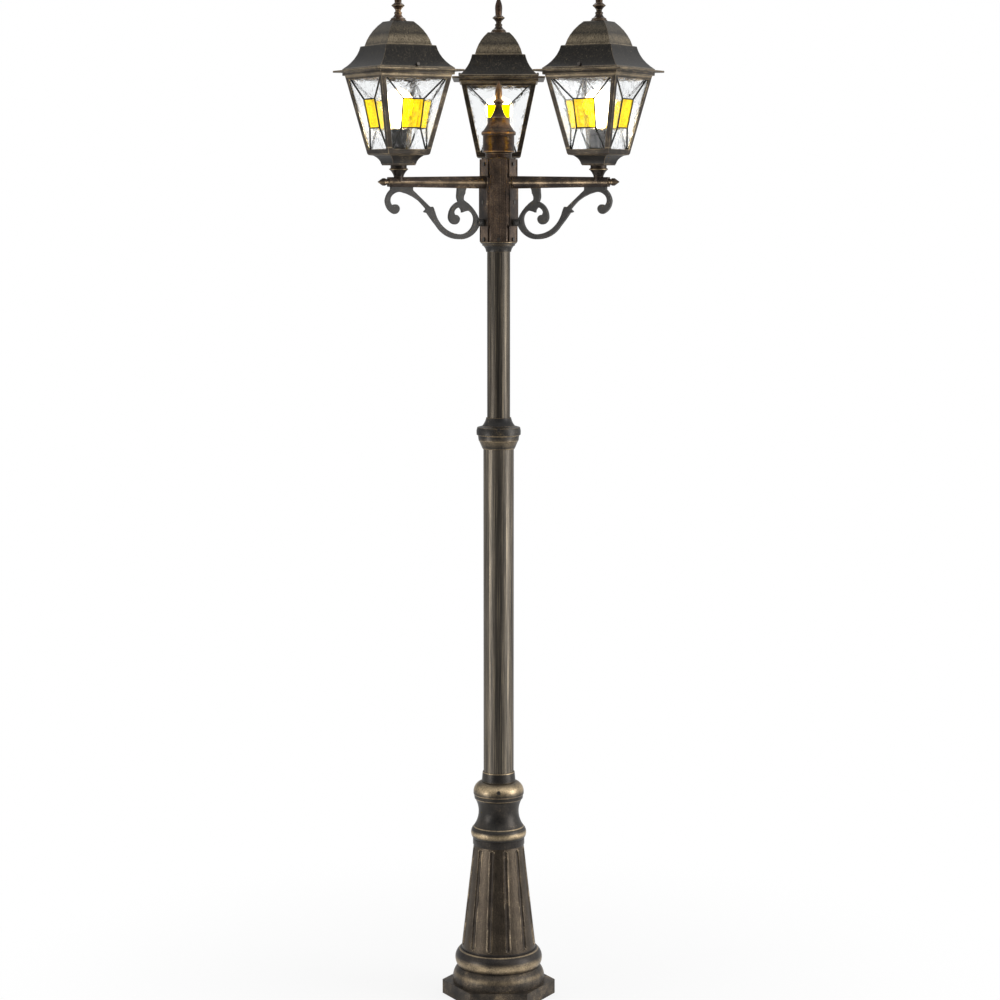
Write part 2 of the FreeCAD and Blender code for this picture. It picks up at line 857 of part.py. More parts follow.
def pointed_slot(width, foot, length, up):
    """A slot that is square at its foot and runs to a rounded point, upwards or downwards."""
    half = width / 2.0
    foot = as_size(foot)
    turn = foot + length * (0.55 if up else -0.55)
    tip = foot + (length if up else -length)
    sweep = 40.0 if up else -40.0
    return [
        (half, foot),
        (half, turn, sweep),
        (0.0, tip, sweep),
        (-half, turn),
        (-half, foot),
    ]


def make_hub():
    """Ribbed barrel over the upper mast: a socket below, a hollow for the wiring above."""
    body = new_body("hub")
    outline = new_sketch(body, "XY_Plane")
    draw(outline, hub_outline())
    pad(body, outline, s.hub_height)
    hollow = new_sketch(body, "XZ_Plane")
    draw(hollow, [
        (0.0, 0.0),
        (upper_bore, 0.0),
        (upper_bore, s.socket_depth),
        (s.wire_hole / 2.0, s.socket_depth),
        (s.wire_hole / 2.0, s.socket_depth + s.hub_web),
        (s.hub_cavity, s.socket_depth + s.hub_web),
        (s.hub_cavity, s.hub_height),
        (0.0, s.hub_height),
    ])
    revolve(body, hollow, cut=True)
    depth = s.slot_depth
    corner_distance = root(s.face_distance * s.face_distance + s.face_width * s.face_width / 4.0)
    slots = []
    for foot, length, up in ((0.0, s.low_slot_length, True),
                             (s.hub_height, s.top_slot_length, False)):
        slot = new_sketch(body, "YZ_Plane", lift=corner_distance + 2.0, spin=30.0)
        draw(slot, pointed_slot(s.slot_width, foot, length, up))
        slots.append(pocket(body, slot, depth + 2.0))
    around(body, slots, 6)
    wall = s.face_distance - s.hub_cavity + 2.0
    drill(body, top_screw, screw_hole, s.hub_cavity - 1.0, wall, count=3)
    drill(body, s.arm_rise - s.plate_screw_drop, screw_hole, s.hub_cavity - 1.0, wall, count=3)
    thick = s.face_distance - upper_bore + 2.0
    drill(body, s.screw_margin, screw_hole, upper_bore - 1.0, thick, count=3)
    drill(body, s.screw_margin, screw_hole, upper_bore - 1.0, thick, count=3, spin=60.0)
    drill(body, s.screw_margin, s.screw_head_radius + s.screw_gap * 2.0, s.face_distance,
          s.rib_distance - s.face_distance + 1.0, count=3, spin=60.0)
    keep(body, "hub", hub_level, angle=ARMS["rear"])


def make_hub_screws():
    """Pan-head screws: three rows on the flat faces and one row sunk in the ribs."""
    body = new_body("hub_screws")
    mid_seat = s.face_distance + s.plate_thick / 2.0
    for height, seat, spin, length in (
        (top_screw, s.face_distance, 0.0, s.face_distance - s.hub_cavity),
        (s.arm_rise - s.plate_screw_drop, mid_seat, 0.0, s.screw_length),
        (s.screw_margin, s.face_distance, 0.0, s.screw_length),
        (s.screw_margin, s.face_distance, 60.0, s.screw_length),
    ):
        shank = new_sketch(body, "YZ_Plane", lift=seat, spin=spin)
        circle(shank, 0.0, height, s.screw_radius)
        shank_pad = pad(body, shank, length, backwards=True)
        head = new_sketch(body, "YZ_Plane", lift=seat, spin=spin)
        circle(head, 0.0, height, s.screw_head_radius)
        head_pad = pad(body, head, s.screw_head)
        around(body, [shank_pad, head_pad], 3)
    keep(body, "hub_screws", hub_level, angle=ARMS["rear"])


def make_hub_cap():
    """Hollow moulded cap, open above: a flange and neck, a ring, a drum, and a spigot below.

    The screws through the hub bear on the spigot, and the drum's rim takes the finial."""
    neck_foot = s.cap_flange
    lower_ring = neck_foot + s.cap_neck_height
    drum = lower_ring + s.cap_lower_ring
    spigot = s.hub_cavity - s.slip
    inside = spigot - s.spigot_wall
    body = turned("hub_cap", [
        (inside, -s.spigot_length),
        (spigot, -s.spigot_length),
        (spigot, 0.0),
        (s.cap_flange_radius, 0.0),
        (s.cap_flange_radius, s.cap_flange * 0.5),
        (s.cap_neck_radius, neck_foot),
        (s.cap_neck_radius, lower_ring, -40.0),
        (s.cap_lower_ring_radius - 1.5, lower_ring + 2.0),
        (s.cap_lower_ring_radius, lower_ring + 3.0),
        (s.cap_lower_ring_radius, drum - 1.0),
        (s.drum_radius, drum),
        (s.drum_radius, drum_top),
        (rim_radius, drum_top),
        (rim_radius, drum_top + s.cap_ring / 2.0 - s.slip),
        (s.drum_radius - s.cap_wall, drum_top + s.cap_ring / 2.0 - s.slip),
        (s.drum_radius - s.cap_wall, drum),
        (inside, lower_ring),
    ])
    keep(body, "hub_cap", cap_level, angle=ARMS["rear"])


def make_hub_finial():
    """Ring that screws over the drum's rim, then a bell, a cone, a pointed bead and a bud."""
    recess = rim_radius + s.slip
    foot = s.cap_ring
    bell = foot + s.finial_bell_height
    cone = bell + 1.0
    neck = cone + s.finial_cone_height
    top = neck + s.finial_bead
    body = turned("hub_finial", [
        (0.0, s.cap_ring / 2.0),
        (recess, s.cap_ring / 2.0),
        (recess, 0.0),
        (s.cap_ring_radius - 2.5, 0.0, 70.0),
        (s.cap_ring_radius - 2.5, foot - 4.0),
        (s.finial_foot_radius, foot),
        (s.finial_foot_radius, foot + 1.5, -42.0),
        (s.finial_bell_radius, bell),
        (s.finial_cone_radius, cone, -30.0),
        (s.finial_neck_radius, neck),
        (s.finial_neck_radius + 5.8, neck + s.finial_bead * 0.42),
        (s.finial_neck_radius + 5.8, neck + s.finial_bead * 0.58),
        (s.finial_neck_radius + 0.2, top),
    ] + pointed_end(s.finial_bud_radius, top + s.finial_bud_height * 0.36,
                    s.finial_bud_height * 0.64))
    keep(body, "hub_finial", cap_level + drum_top)


def make_terminal_block():
    """Three-way connector in the hub, beside the wire hole, with through bores for the wires."""
    body = new_body("terminal_block")
    base = new_sketch(body, "XY_Plane")
    across = s.block_length / 2.0
    along = s.block_width / 2.0
    draw(base, [(-along, -across), (along, -across), (along, across), (-along, across)])
    pad(body, base, s.block_height)
    bores = new_sketch(body, "YZ_Plane")
    for way in (-1.0, 0.0, 1.0):
        circle(bores, s.block_pitch * way, s.block_height / 2.0, s.block_hole / 2.0)
    pocket(body, bores, s.block_width + 2.0, middle=True)
    block_level = hub_level + s.socket_depth + s.hub_web
    keep(body, "terminal_block", block_level, s.block_shift, ARMS["rear"])


# ---------------------------------------------------------------- arms and scrolls


arm_end = s.lantern_radius + s.arm_overhang
arm_fall = (s.arm_root_height - s.arm_end_height) / (arm_end - plate_face) / 2.0


def arm_underside(out):
    """Height of the arm's lower edge at a distance from the mast's axis."""
    return arm_fall * (as_size(out) - plate_face) - s.arm_root_height / 2.0


def arm_section(sketch, height, depth, ridge):
    """Eight-sided section with upright ridges at the sides and flats above and below."""
    corners = []
    for up, across in ((-1, 1), (1, 1), (1, -1), (-1, -1)):
        side = (depth * (0.5 * across), ridge * (0.5 * up))
        flat = (s.arm_flat * (0.5 * across), height * (0.5 * up))
        corners += [flat, side] if up * across < 0 else [side, flat]
    draw(sketch, corners)


def make_arm(side):
    """Plate on the hub, tapered ridged arm, moulded point, and the boss under the lantern."""
    label = f"{side}_arm"
    body = new_body(label)
    half = s.face_width / 2.0
    plate = new_sketch(body, "YZ_Plane", lift=s.face_distance)
    draw(plate, [(-half, -s.plate_drop), (half, -s.plate_drop),
                 (half, s.plate_rise), (-half, s.plate_rise)])
    pad(body, plate, s.plate_thick)
    near = new_sketch(body, "YZ_Plane", lift=plate_face)
    arm_section(near, s.arm_root_height, s.arm_root_depth, s.ridge_root)
    far = new_sketch(body, "YZ_Plane", lift=arm_end)
    arm_section(far, s.arm_end_height, s.arm_end_depth, s.ridge_end)
    beam = body.newObject("PartDesign::AdditiveLoft", label + "_beam")
    beam.Profile = near
    beam.Sections = [far]
    beam.Ruled = True
    tip = new_sketch(body, "XZ_Plane")
    reach = arm_end + s.tip_length
    draw(tip, [
        (arm_end - 1.0, 0.0),
        (arm_end - 1.0, s.tip_neck_radius + 1.6),
        (arm_end + 2.5, s.tip_neck_radius),
        (arm_end + 5.5, s.tip_neck_radius),
        (arm_end + 8.0, s.tip_bead_radius),
        (arm_end + 13.0, s.tip_bead_radius),
        (reach, 0.8),
        (reach, 0.0),
    ])
    revolve(body, tip, axis="H_Axis")
    boss = new_sketch(body, "XY_Plane")
    circle(boss, s.lantern_radius, 0.0, s.boss_radius)
    pad(body, boss, s.boss_height)
    hole = new_sketch(body, "XY_Plane")
    circle(hole, s.lantern_radius, 0.0, s.nipple_radius + s.nipple_gap)
    pocket(body, hole, s.boss_height + 1.0, backwards=True)
    level = -s.plate_screw_drop
    drill(body, level, screw_hole, s.face_distance - 1.0, s.plate_thick + 2.0)
    drill(body, level, s.screw_head_radius + s.screw_gap * 2.0,
          s.face_distance + s.plate_thick / 2.0, s.plate_thick)
    keep(body, label, arm_level, angle=ARMS[side])


def make_scroll(side):
    """Flat S-scroll under the arm: a large volute outside, a ring with a small volute at the hub."""
    label = f"{side}_scroll"
    body = new_body(label)
    edge = plate_face + s.stub_length
    span = s.lantern_radius + s.scroll_outset - edge

    def at(out, level, sweep=0.0):
        across = edge + span * ((out - DRAWN_EDGE) / DRAWN_SPAN)
        fall = (-DRAWN_TOP - level) / DRAWN_DROP
        return (across, -s.arm_root_height / 2.0 - s.scroll_drop * fall, sweep)

    def under_arm(out):
        across = edge + span * ((out - DRAWN_EDGE) / DRAWN_SPAN)
        return (across, arm_underside(across), 0.0)

    sketch = new_sketch(body, "XZ_Plane")
    draw(sketch, [
        # foot and outer volute, clockwise from the foot's inner end
        under_arm(211.0),
        under_arm(263.6),
        at(263.6, -16.0, -40.0),
        at(276.6, -38.5, -71.8),
        at(255.6, -67.5, -85.0),
        at(243.0, -56.7, -132.0),
        at(259.7, -49.6, 54.0),
        at(265.3, -38.6, 47.0),
        at(260.7, -28.1, 54.4),
        at(237.4, -21.5, 24.4),
        at(196.8, -39.2, 8.0),
        # spurred collar and the outside of the bowl
        at(178.7, -57.2),
        at(184.8, -62.9, -30.0),
        at(176.7, -65.3, -72.8),
        at(99.7, -122.0, -70.4),
        at(48.6, -92.0),
        at(48.6, -81.0, -38.0),
        # stem up to the arm
        at(87.2, -38.2, 60.0),
        at(84.0, -24.0, 30.0),
        under_arm(81.0),
        under_arm(102.5),
        at(103.7, -25.4, -40.0),
        at(100.7, -41.5, -70.0),
        # small volute and the cusp
        at(124.3, -73.8, -88.4),
        at(108.9, -90.3, -85.0),
        at(97.4, -77.8, -87.0),
        at(108.9, -69.6, 20.0),
        at(111.2, -64.0, 75.0),
        at(98.4, -54.0, 75.0),
        at(92.4, -65.1, 20.0),
        # inside of the ring and of the bowl, back up to the collar and the foot
        at(74.7, -60.7, 70.0),
        at(62.1, -79.8, 88.4),
        at(94.4, -111.2, 69.4),
        at(156.3, -68.3, -14.0),
        at(162.7, -52.0),
        at(169.3, -52.8),
        at(211.0, -17.0),
    ])
    pad(body, sketch, s.scroll_thick, middle=True)
    stub = new_sketch(body, "YZ_Plane", lift=plate_face)
    circle(stub, 0.0, at(0.0, -86.5)[1], s.stub_radius)
    pad(body, stub, s.stub_length + 5.0)
    keep(body, label, arm_level, angle=ARMS[side])


# ---------------------------------------------------------------- lanterns


stem_level = s.boss_height
pan_level = stem_level + s.stem_height
cage_level = pan_level + s.pan_lip + s.pan_cove_height + s.pan_rim
brim_top = cage_level + s.cage_height + s.lip_height + s.brim_height
holder_level = cage_level + s.cage_floor
bulb_level = holder_level + s.holder_seat
roof_height = s.roof_foot_lip + s.skirt_height + s.dome_height + 1.0
nipple_hole = s.nipple_radius + s.nipple_gap
cage_slope = (s.cage_top_width - s.cage_foot_width) / s.cage_height / 2.0
cage_lean = slope_angle((s.cage_top_width - s.cage_foot_width) / 2.0, s.cage_height)
lean_stretch = root(cage_slope * cage_slope + 1.0)


def keep_at_lantern(piece, label, side, level):
    keep(piece, label, arm_level + level, s.lantern_radius, ARMS[side])


def cage_half(height):
    """Half the cage's outer width at a height above its foot."""
    return s.cage_foot_width / 2.0 + cage_slope * as_size(height)


def make_stem(side):
    """Turned stem between the arm's boss and the pan, bored for the threaded tube."""
    label = f"{side}_stem"
    cone = s.stem_cone_height
    rim = cone + s.stem_rim
    body = turned(label, [
        (nipple_hole, 0.0),
        (s.stem_foot_radius, 0.0),
        (s.stem_foot_radius, 1.5, -30.0),
        (s.stem_rim_radius - 1.5, cone),
        (s.stem_rim_radius, cone + 0.6),
        (s.stem_rim_radius, rim - 0.8),
        (s.stem_rim_radius - 1.2, rim),
        (s.stem_top_radius, rim + 0.6),
        (s.stem_top_radius, s.stem_height),
        (nipple_hole, s.stem_height),
    ])
    keep_at_lantern(body, label, side, stem_level)


def make_nipple(side):
    """Threaded tube that ties the lampholder, cage, pan and stem to the arm."""
    label = f"{side}_nipple"
    inside = s.nipple_radius - s.nipple_wall
    body = turned(label, [
        (inside, 0.0),
        (s.nipple_radius, 0.0),
        (s.nipple_radius, s.nipple_length),
        (inside, s.nipple_length),
    ])
    keep_at_lantern(body, label, side, 0.0)


def make_pan(side):
    """Square bowl with a lip, a cove and a sloping rim, hollow from above."""
    label = f"{side}_pan"
    cove = s.pan_lip + s.pan_cove_height
    form = square_form(label + "_form", [
        (s.pan_foot_width / 2.0, 0.0),
        (s.pan_foot_width / 2.0, s.pan_lip),
        (s.pan_foot_width / 2.0 + 1.0, s.pan_lip, -50.0),
        (s.pan_cove_width / 2.0, cove),
        (s.pan_cove_width / 2.0 + 0.6, cove + 0.8),
        (s.pan_rim_width / 2.0, cove + s.pan_rim - 1.4),
        (s.pan_rim_width / 2.0, cove + s.pan_rim),
    ], s.pan_rim_width * 1.2)
    width = s.pan_foot_width - s.foot_wall * 2.0
    hollow = block(label + "_hollow", width, width, cove + s.pan_rim,
                   -width / 2.0, -width / 2.0, s.foot_wall)
    hole = rod(label + "_hole", nipple_hole, s.foot_wall + 2.0, -1.0)
    bowl = cut(label, cut(label + "_bowl", form, hollow), hole)
    keep_at_lantern(bowl, label, side, pan_level)


def frustum(label, foot_width, top_width, height, z):
    """An upright square frustum on the axis."""
    wedge = doc.addObject("Part::Wedge", label)
    half = as_size(foot_width) / 2.0
    top = as_size(top_width) / 2.0
    wedge.Placement = Placement(Vector(), Rotation(Vector(1, 0, 0), 90))
    for name, size in (
        ("Xmin", -half), ("Xmax", half), ("Zmin", -half), ("Zmax", half),
        ("X2min", -top), ("X2max", top), ("Z2min", -top), ("Z2max", top),
        ("Ymin", as_size(0.0)), ("Ymax", as_size(height)), ("Placement.Base.z", as_size(z)),
    ):
        bind(wedge, name, size)
    return wedge


def square_slab(label, width, height, z):
    half = as_size(width) / 2.0
    return block(label, width, width, height, -half, -half, z)


def make_cage(side):
    """Four leaning corner bars between two rails, a floor, an under-lip, a brim and an upstand."""
    label = f"{side}_cage"
    inner_foot = s.cage_foot_width - s.cage_wall * 2.0 + cage_slope * s.cage_floor * 2.0
    inner_top = s.cage_top_width - s.cage_wall * 2.0
    shell = cut(
        label + "_shell",
        frustum(label + "_outer", s.cage_foot_width, s.cage_top_width, s.cage_height, 0.0),
        frustum(label + "_inner", inner_foot, inner_top, s.cage_height - s.cage_floor,
                s.cage_floor),
    )
    low = s.bottom_rail
    high = s.cage_height - s.top_rail
    for plane, across in (("XZ", "Y"), ("YZ", "X")):
        sketch = loose_sketch(f"{label}_window_{plane}", plane)
        draw(sketch, [
            (s.bar_width - cage_half(low), low),
            (cage_half(low) - s.bar_width, low),
            (cage_half(high) - s.bar_width, high),
            (s.bar_width - cage_half(high), high),
        ])
        window = extrude(f"{label}_window_{across}", sketch, across, s.cage_top_width * 1.2)
        shell = cut(f"{label}_open_{across}", shell, window)
    top = s.cage_height
    upstand = s.mouth_width + s.upstand_wall * 2.0
    deck = top + s.lip_height
    frame = fuse(label + "_frame", [
        shell,
        square_slab(label + "_lip", s.lip_width, s.lip_height, top),
        square_slab(label + "_brim", s.brim_width, s.brim_height, deck),
        square_slab(label + "_upstand", upstand, s.upstand_height, deck + s.brim_height),
    ])
    mouth = square_slab(label + "_mouth", s.mouth_width,
                        s.lip_height + s.brim_height + s.upstand_height + 1.0, top)
    hole = rod(label + "_hole", nipple_hole, s.cage_floor + 2.0, -1.0)
    whole = cut(label, cut(label + "_mouthed", frame, mouth), hole)
    keep_at_lantern(whole, label, side, cage_level)


# A pane's own frame: across the pane, and up its slope from the cage's foot.
pane_inset = (s.glass_gap + s.lead_thick / 2.0) * lean_stretch
pane_lift = s.cage_foot_width / 2.0 - s.cage_wall - pane_inset
pane_edge = s.cage_wall + (s.glass_gap * 3.0 + s.lead_thick) * lean_stretch
pane_foot = s.cage_floor + s.lead_thick * cage_slope + s.glass_gap
pane_head = s.cage_height - s.lead_thick * cage_slope - s.glass_gap
amber_head = s.amber_level + s.amber_height
glass_line = s.lead_heart / 2.0 + s.glass_gap


def pane_sketch(body):
    return tilted_sketch(body, "XZ_Plane", (1, 0, 0), cage_lean, (0.0, 0.0, pane_lift))


def up_slope(height):
    return as_size(height) * lean_stretch


def amber_outline(grow):
    """The centre panel, wider above than below, grown on every side."""
    low = up_slope(s.amber_level) - grow
    high = up_slope(amber_head) + grow
    foot = s.amber_foot_width / 2.0 + grow
    head = s.amber_top_width / 2.0 + grow
    return [(-foot, low), (foot, low), (head, high), (-head, high)]


def lead_strips(half, past):
    """Outlines of strips along the lines from the centre panel's corners to the pane's corners.

    Each has a half width and ends a distance past the pane's corner, or short of it."""
    low_far = cage_half(pane_foot) - pane_edge
    high_far = cage_half(pane_head) - pane_edge
    strips = []
    for near, level, far, far_level in (
        (s.amber_foot_width / 2.0, s.amber_level, low_far, pane_foot),
        (s.amber_top_width / 2.0, amber_head, high_far, pane_head),
    ):
        start = up_slope(level)
        run = far - near
        rise = up_slope(far_level) - start
        length = root(run * run + rise * rise)
        wide = half * length / root(rise * rise)
        end_half = far + run * past / length
        end = up_slope(far_level) + rise * past / length
        for way in (-1.0, 1.0):
            strips.append([(near * way - wide, start), (near * way + wide, start),
                           (end_half * way + wide, end), (end_half * way - wide, end)])
    return strips


def make_clear_panes(side):
    """Four leaning panes of clear glass, each in four pieces round its centre panel."""
    label = f"{side}_clear_panes"
    body = new_body(label)
    sketch = pane_sketch(body)
    foot = cage_half(pane_foot) - pane_edge
    head = cage_half(pane_head) - pane_edge
    draw(sketch, [(-foot, up_slope(pane_foot)), (foot, up_slope(pane_foot)),
                  (head, up_slope(pane_head)), (-head, up_slope(pane_head))])
    draw(sketch, amber_outline(glass_line))
    shapes = [pad(body, sketch, s.glass_thick, middle=True)]
    for strip in lead_strips(glass_line, as_size(2.0)):
        slit = pane_sketch(body)
        draw(slit, strip)
        shapes.append(pocket(body, slit, s.glass_thick + s.glass_gap, middle=True))
    around(body, shapes, 4)
    keep_at_lantern(body, label, side, cage_level)


def make_amber_panes(side):
    label = f"{side}_amber_panes"
    body = new_body(label)
    sketch = pane_sketch(body)
    draw(sketch, amber_outline(-glass_line))
    pane = pad(body, sketch, s.glass_thick, middle=True)
    around(body, [pane], 4)
    keep_at_lantern(body, label, side, cage_level)


def make_leadwork(side):
    """H-shaped lead strips round the centre panel and out to the corners of each pane."""
    label = f"{side}_leadwork"
    body = new_body(label)
    flange = s.lead_width / 2.0
    ring = pane_sketch(body)
    draw(ring, amber_outline(flange))
    draw(ring, amber_outline(-flange))
    shapes = [pad(body, ring, s.lead_thick, middle=True)]
    for strip in lead_strips(flange, -s.lead_width):
        bar = pane_sketch(body)
        draw(bar, strip)
        shapes.append(pad(body, bar, s.lead_thick, middle=True))
    gap = pane_sketch(body)
    reach = s.cage_top_width
    draw(gap, [(-reach, -reach), (reach, -reach), (reach, reach * 2.0), (-reach, reach * 2.0)])
    shapes.append(pocket(body, gap, s.glass_thick, middle=True))
    heart = s.lead_heart / 2.0
    core = pane_sketch(body)
    draw(core, amber_outline(heart))
    draw(core, amber_outline(-heart))
    shapes.append(pad(body, core, s.lead_thick, middle=True))
    for strip in lead_strips(heart, -s.lead_width):
        web = pane_sketch(body)
        draw(web, strip)
        shapes.append(pad(body, web, s.lead_thick, middle=True))
    around(body, shapes, 4)
    keep_at_lantern(body, label, side, cage_level)


def roof_side(inset):
    """Half the roof's outline: lip, concave skirt, step and convex dome, inset for the inside."""
    inset = as_size(inset)
    skirt = s.roof_foot_lip + s.skirt_height
    return [
        (s.roof_foot_width / 2.0 - inset, -inset),
        (s.roof_foot_width / 2.0 - inset, s.roof_foot_lip - inset / 2.0, -42.0),
        (s.skirt_top_width / 2.0 - inset, skirt - inset / 2.0),
        (s.dome_foot_width / 2.0 - inset, skirt + 1.0 - inset / 2.0, 34.0),
        (s.dome_top_width / 2.0 - inset, roof_height - inset),
    ]


def make_roof(side):
    """Square sheet-like casting that lifts off: a flared skirt under a stepped dome."""
    label = f"{side}_roof"
    width = s.roof_foot_width * 1.2
    shell = cut(
        label + "_shell",
        square_form(label + "_outer", roof_side(0.0), width),
        square_form(label + "_inner", roof_side(s.roof_wall), width),
    )
    stud_hole = rod(label + "_stud_hole", s.stud_radius + s.screw_gap, s.roof_wall * 3.0,
                    roof_height - s.roof_wall * 2.0)
    reach = s.roof_foot_width
    knob_hole = rod(label + "_knob_hole", s.knob_shank_radius + s.screw_gap, reach, s.knob_level,
                    direction=(0, 1, 0), y=-reach / 2.0)
    whole = cut(label, cut(label + "_studded", shell, stud_hole), knob_hole)
    keep_at_lantern(whole, label, side, brim_top)


def make_roof_screws(side):
    """Two thumb screws through the skirt that bear on the cage's upstand."""
    label = f"{side}_roof_screws"
    body = new_body(label)
    tip = s.mouth_width / 2.0 + s.upstand_wall + s.slip
    seat = s.roof_foot_width / 2.0 - s.knob_inset
    shank = new_sketch(body, "XZ_Plane", lift=tip)
    circle(shank, 0.0, s.knob_level, s.knob_shank_radius)
    shank_pad = pad(body, shank, seat - tip)
    head = new_sketch(body, "XZ_Plane", lift=seat)
    circle(head, 0.0, s.knob_level, s.knob_radius)
    head_pad = pad(body, head, s.knob_length)
    around(body, [shank_pad, head_pad], 2)
    keep_at_lantern(body, label, side, brim_top)


def make_roof_finial(side):
    """Two-step foot, cone, ring, pointed bead and bud on a stud."""
    label = f"{side}_roof_finial"
    rim = s.spire_foot + s.spire_rim
    cone = rim + s.spire_cone_height
    ring = cone + s.spire_ring
    neck = ring + s.spire_bead_neck_height
    bead = neck + s.spire_bead
    body = turned(label, [
        (0.0, -s.roof_wall - 3.0),
        (s.stud_radius, -s.roof_wall - 3.0),
        (s.stud_radius, 0.0),
        (s.spire_foot_radius, 0.0),
        (s.spire_foot_radius, s.spire_foot),
        (s.spire_rim_radius, s.spire_foot),
        (s.spire_rim_radius, rim - 1.0),
        (s.spire_rim_radius - 2.0, rim, -40.0),
        (s.spire_neck_radius, cone),
        (s.spire_ring_radius, cone + 0.8),
        (s.spire_ring_radius, ring - 0.8),
        (s.spire_bead_neck_radius, ring),
        (s.spire_bead_neck_radius, neck, -24.0),
        (s.spire_bead_radius, neck + s.spire_bead * 0.55),
        (s.spire_bead_radius, neck + s.spire_bead * 0.65),
        (s.spire_neck_radius, bead),
    ] + pointed_end(s.spire_bud_radius, bead + s.spire_bud_height * 0.4,
                    s.spire_bud_height * 0.6))
    keep_at_lantern(body, label, side, brim_top + roof_height)


def make_lampholder(side):
    """Screw lampholder: a foot on the cage's floor, a shell and a wider skirt at its mouth."""
    label = f"{side}_lampholder"
    body = turned(label, [
        (nipple_hole, 0.0),
        (s.holder_radius - 3.5, 0.0),
        (s.holder_radius - 3.5, 4.0),
        (s.holder_radius, 5.0),
        (s.holder_radius, s.holder_height - s.holder_skirt),
        (s.holder_skirt_radius, s.holder_height - s.holder_skirt + 1.0),
        (s.holder_skirt_radius, s.holder_height - 1.0),
        (s.holder_radius, s.holder_height),
        (s.holder_bore, s.holder_height),
        (s.holder_bore, s.holder_seat),
        (0.0, s.holder_seat),
        (0.0, s.holder_base),
        (nipple_hole, s.holder_base),
    ])
    keep_at_lantern(body, label, side, holder_level)


def make_bulb_cap(side):
    """Screw cap of the bulb, plain where the thread runs, with its centre contact below."""
    label = f"{side}_bulb_cap"
    shell = s.holder_bore - s.cap_gap
    body = turned(label, [
        (0.0, 0.0),
        (5.0, 0.0),
        (5.5, 1.5),
        (shell - 2.0, 5.0),
        (shell, 6.0),
        (shell, s.bulb_cap_height),
        (0.0, s.bulb_cap_height),
    ])
    keep_at_lantern(body, label, side, bulb_level)


def make_bulb(side):
    """Hollow pear-shaped bulb: a flared neck that runs into a sphere."""
    label = f"{side}_bulb"
    foot = s.bulb_cap_height
    centre = s.bulb_height - s.bulb_radius
    cosine = math.cos(math.radians(30.0))
    inside = s.bulb_radius - s.bulb_wall
    body = turned(label, [
        (0.0, foot),
        (s.bulb_neck_radius - 1.7, foot),
        (s.bulb_neck_radius, foot + 1.5, -24.0),
        (s.bulb_radius * cosine, centre - s.bulb_radius * 0.5, 120.0),
        (0.0, s.bulb_height),
        (0.0, s.bulb_height - s.bulb_wall, -120.0),
        (inside * cosine, centre - inside * 0.5, 24.0),
        (s.bulb_neck_radius - s.bulb_wall, foot + 1.5 + s.bulb_wall),
        (0.0, foot + 1.5 + s.bulb_wall),
    ])
    keep_at_lantern(body, label, side, bulb_level)


make_plinth()
make_foot_screws()
make_pedestal()
make_neck()
make_sleeve()
make_tube("lower_mast", s.lower_radius, s.lower_wall, s.lower_length, s.floor_thick)
make_mast_collar()
make_tube("upper_mast", s.upper_radius, s.upper_wall, s.upper_length, upper_level)
make_set_screws()
make_hub_foot()
make_hub()
make_hub_screws()
make_hub_cap()
make_hub_finial()
make_terminal_block()
for side in ARMS:
    for make in (
        make_arm, make_scroll, make_stem, make_nipple, make_pan, make_cage, make_clear_panes,
        make_amber_panes, make_leadwork, make_roof, make_roof_screws, make_roof_finial,
        make_lampholder, make_bulb_cap, make_bulb,
    ):
        make(side)

doc.recompute()
failed = [item.Label for item in doc.Objects if {"Invalid", "Error"} & set(item.State)]
for node in nodes:
    if node.Shape.isNull() or not node.Shape.isValid():
        failed.append(node.Label)
if failed:
    raise RuntimeError("did not build: " + ", ".join(failed))
os.makedirs("parts", exist_ok=True)
for node in nodes:
    node.Shape.exportStep(f"parts/{node.Label}.step")
print(len(nodes), "parts written")
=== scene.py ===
import math

import bmesh
import bpy
from mathutils import Matrix, Vector, noise


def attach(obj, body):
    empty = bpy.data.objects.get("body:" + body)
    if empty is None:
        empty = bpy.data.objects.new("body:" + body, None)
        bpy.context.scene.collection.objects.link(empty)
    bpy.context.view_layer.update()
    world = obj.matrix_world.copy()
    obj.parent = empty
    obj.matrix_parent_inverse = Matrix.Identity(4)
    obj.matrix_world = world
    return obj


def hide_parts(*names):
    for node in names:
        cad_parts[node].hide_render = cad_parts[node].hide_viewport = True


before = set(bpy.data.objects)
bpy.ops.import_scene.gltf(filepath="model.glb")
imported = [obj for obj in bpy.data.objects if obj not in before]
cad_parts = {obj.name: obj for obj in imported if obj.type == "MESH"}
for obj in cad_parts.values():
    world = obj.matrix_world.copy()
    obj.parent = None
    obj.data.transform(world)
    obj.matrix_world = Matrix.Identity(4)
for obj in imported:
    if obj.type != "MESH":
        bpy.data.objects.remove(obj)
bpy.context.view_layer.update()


# ---------------------------------------------------------------- studio
# A pale sweep of floor, a white surround and three soft lamps. The camera stands in front at
# about the height of the arms and looks a little down the mast.

scene = bpy.context.scene
scene.view_settings.view_transform = "Standard"

camera = bpy.data.objects.new("camera", bpy.data.cameras.new("camera"))
camera.location = (0.003, -5.5, 1.76)
camera.rotation_euler = (math.radians(84.58), 0.0, 0.0)
camera.data.sensor_width = 36.0
camera.data.lens = 91.05
camera.data.shift_y = -0.06
scene.collection.objects.link(camera)
scene.camera = camera


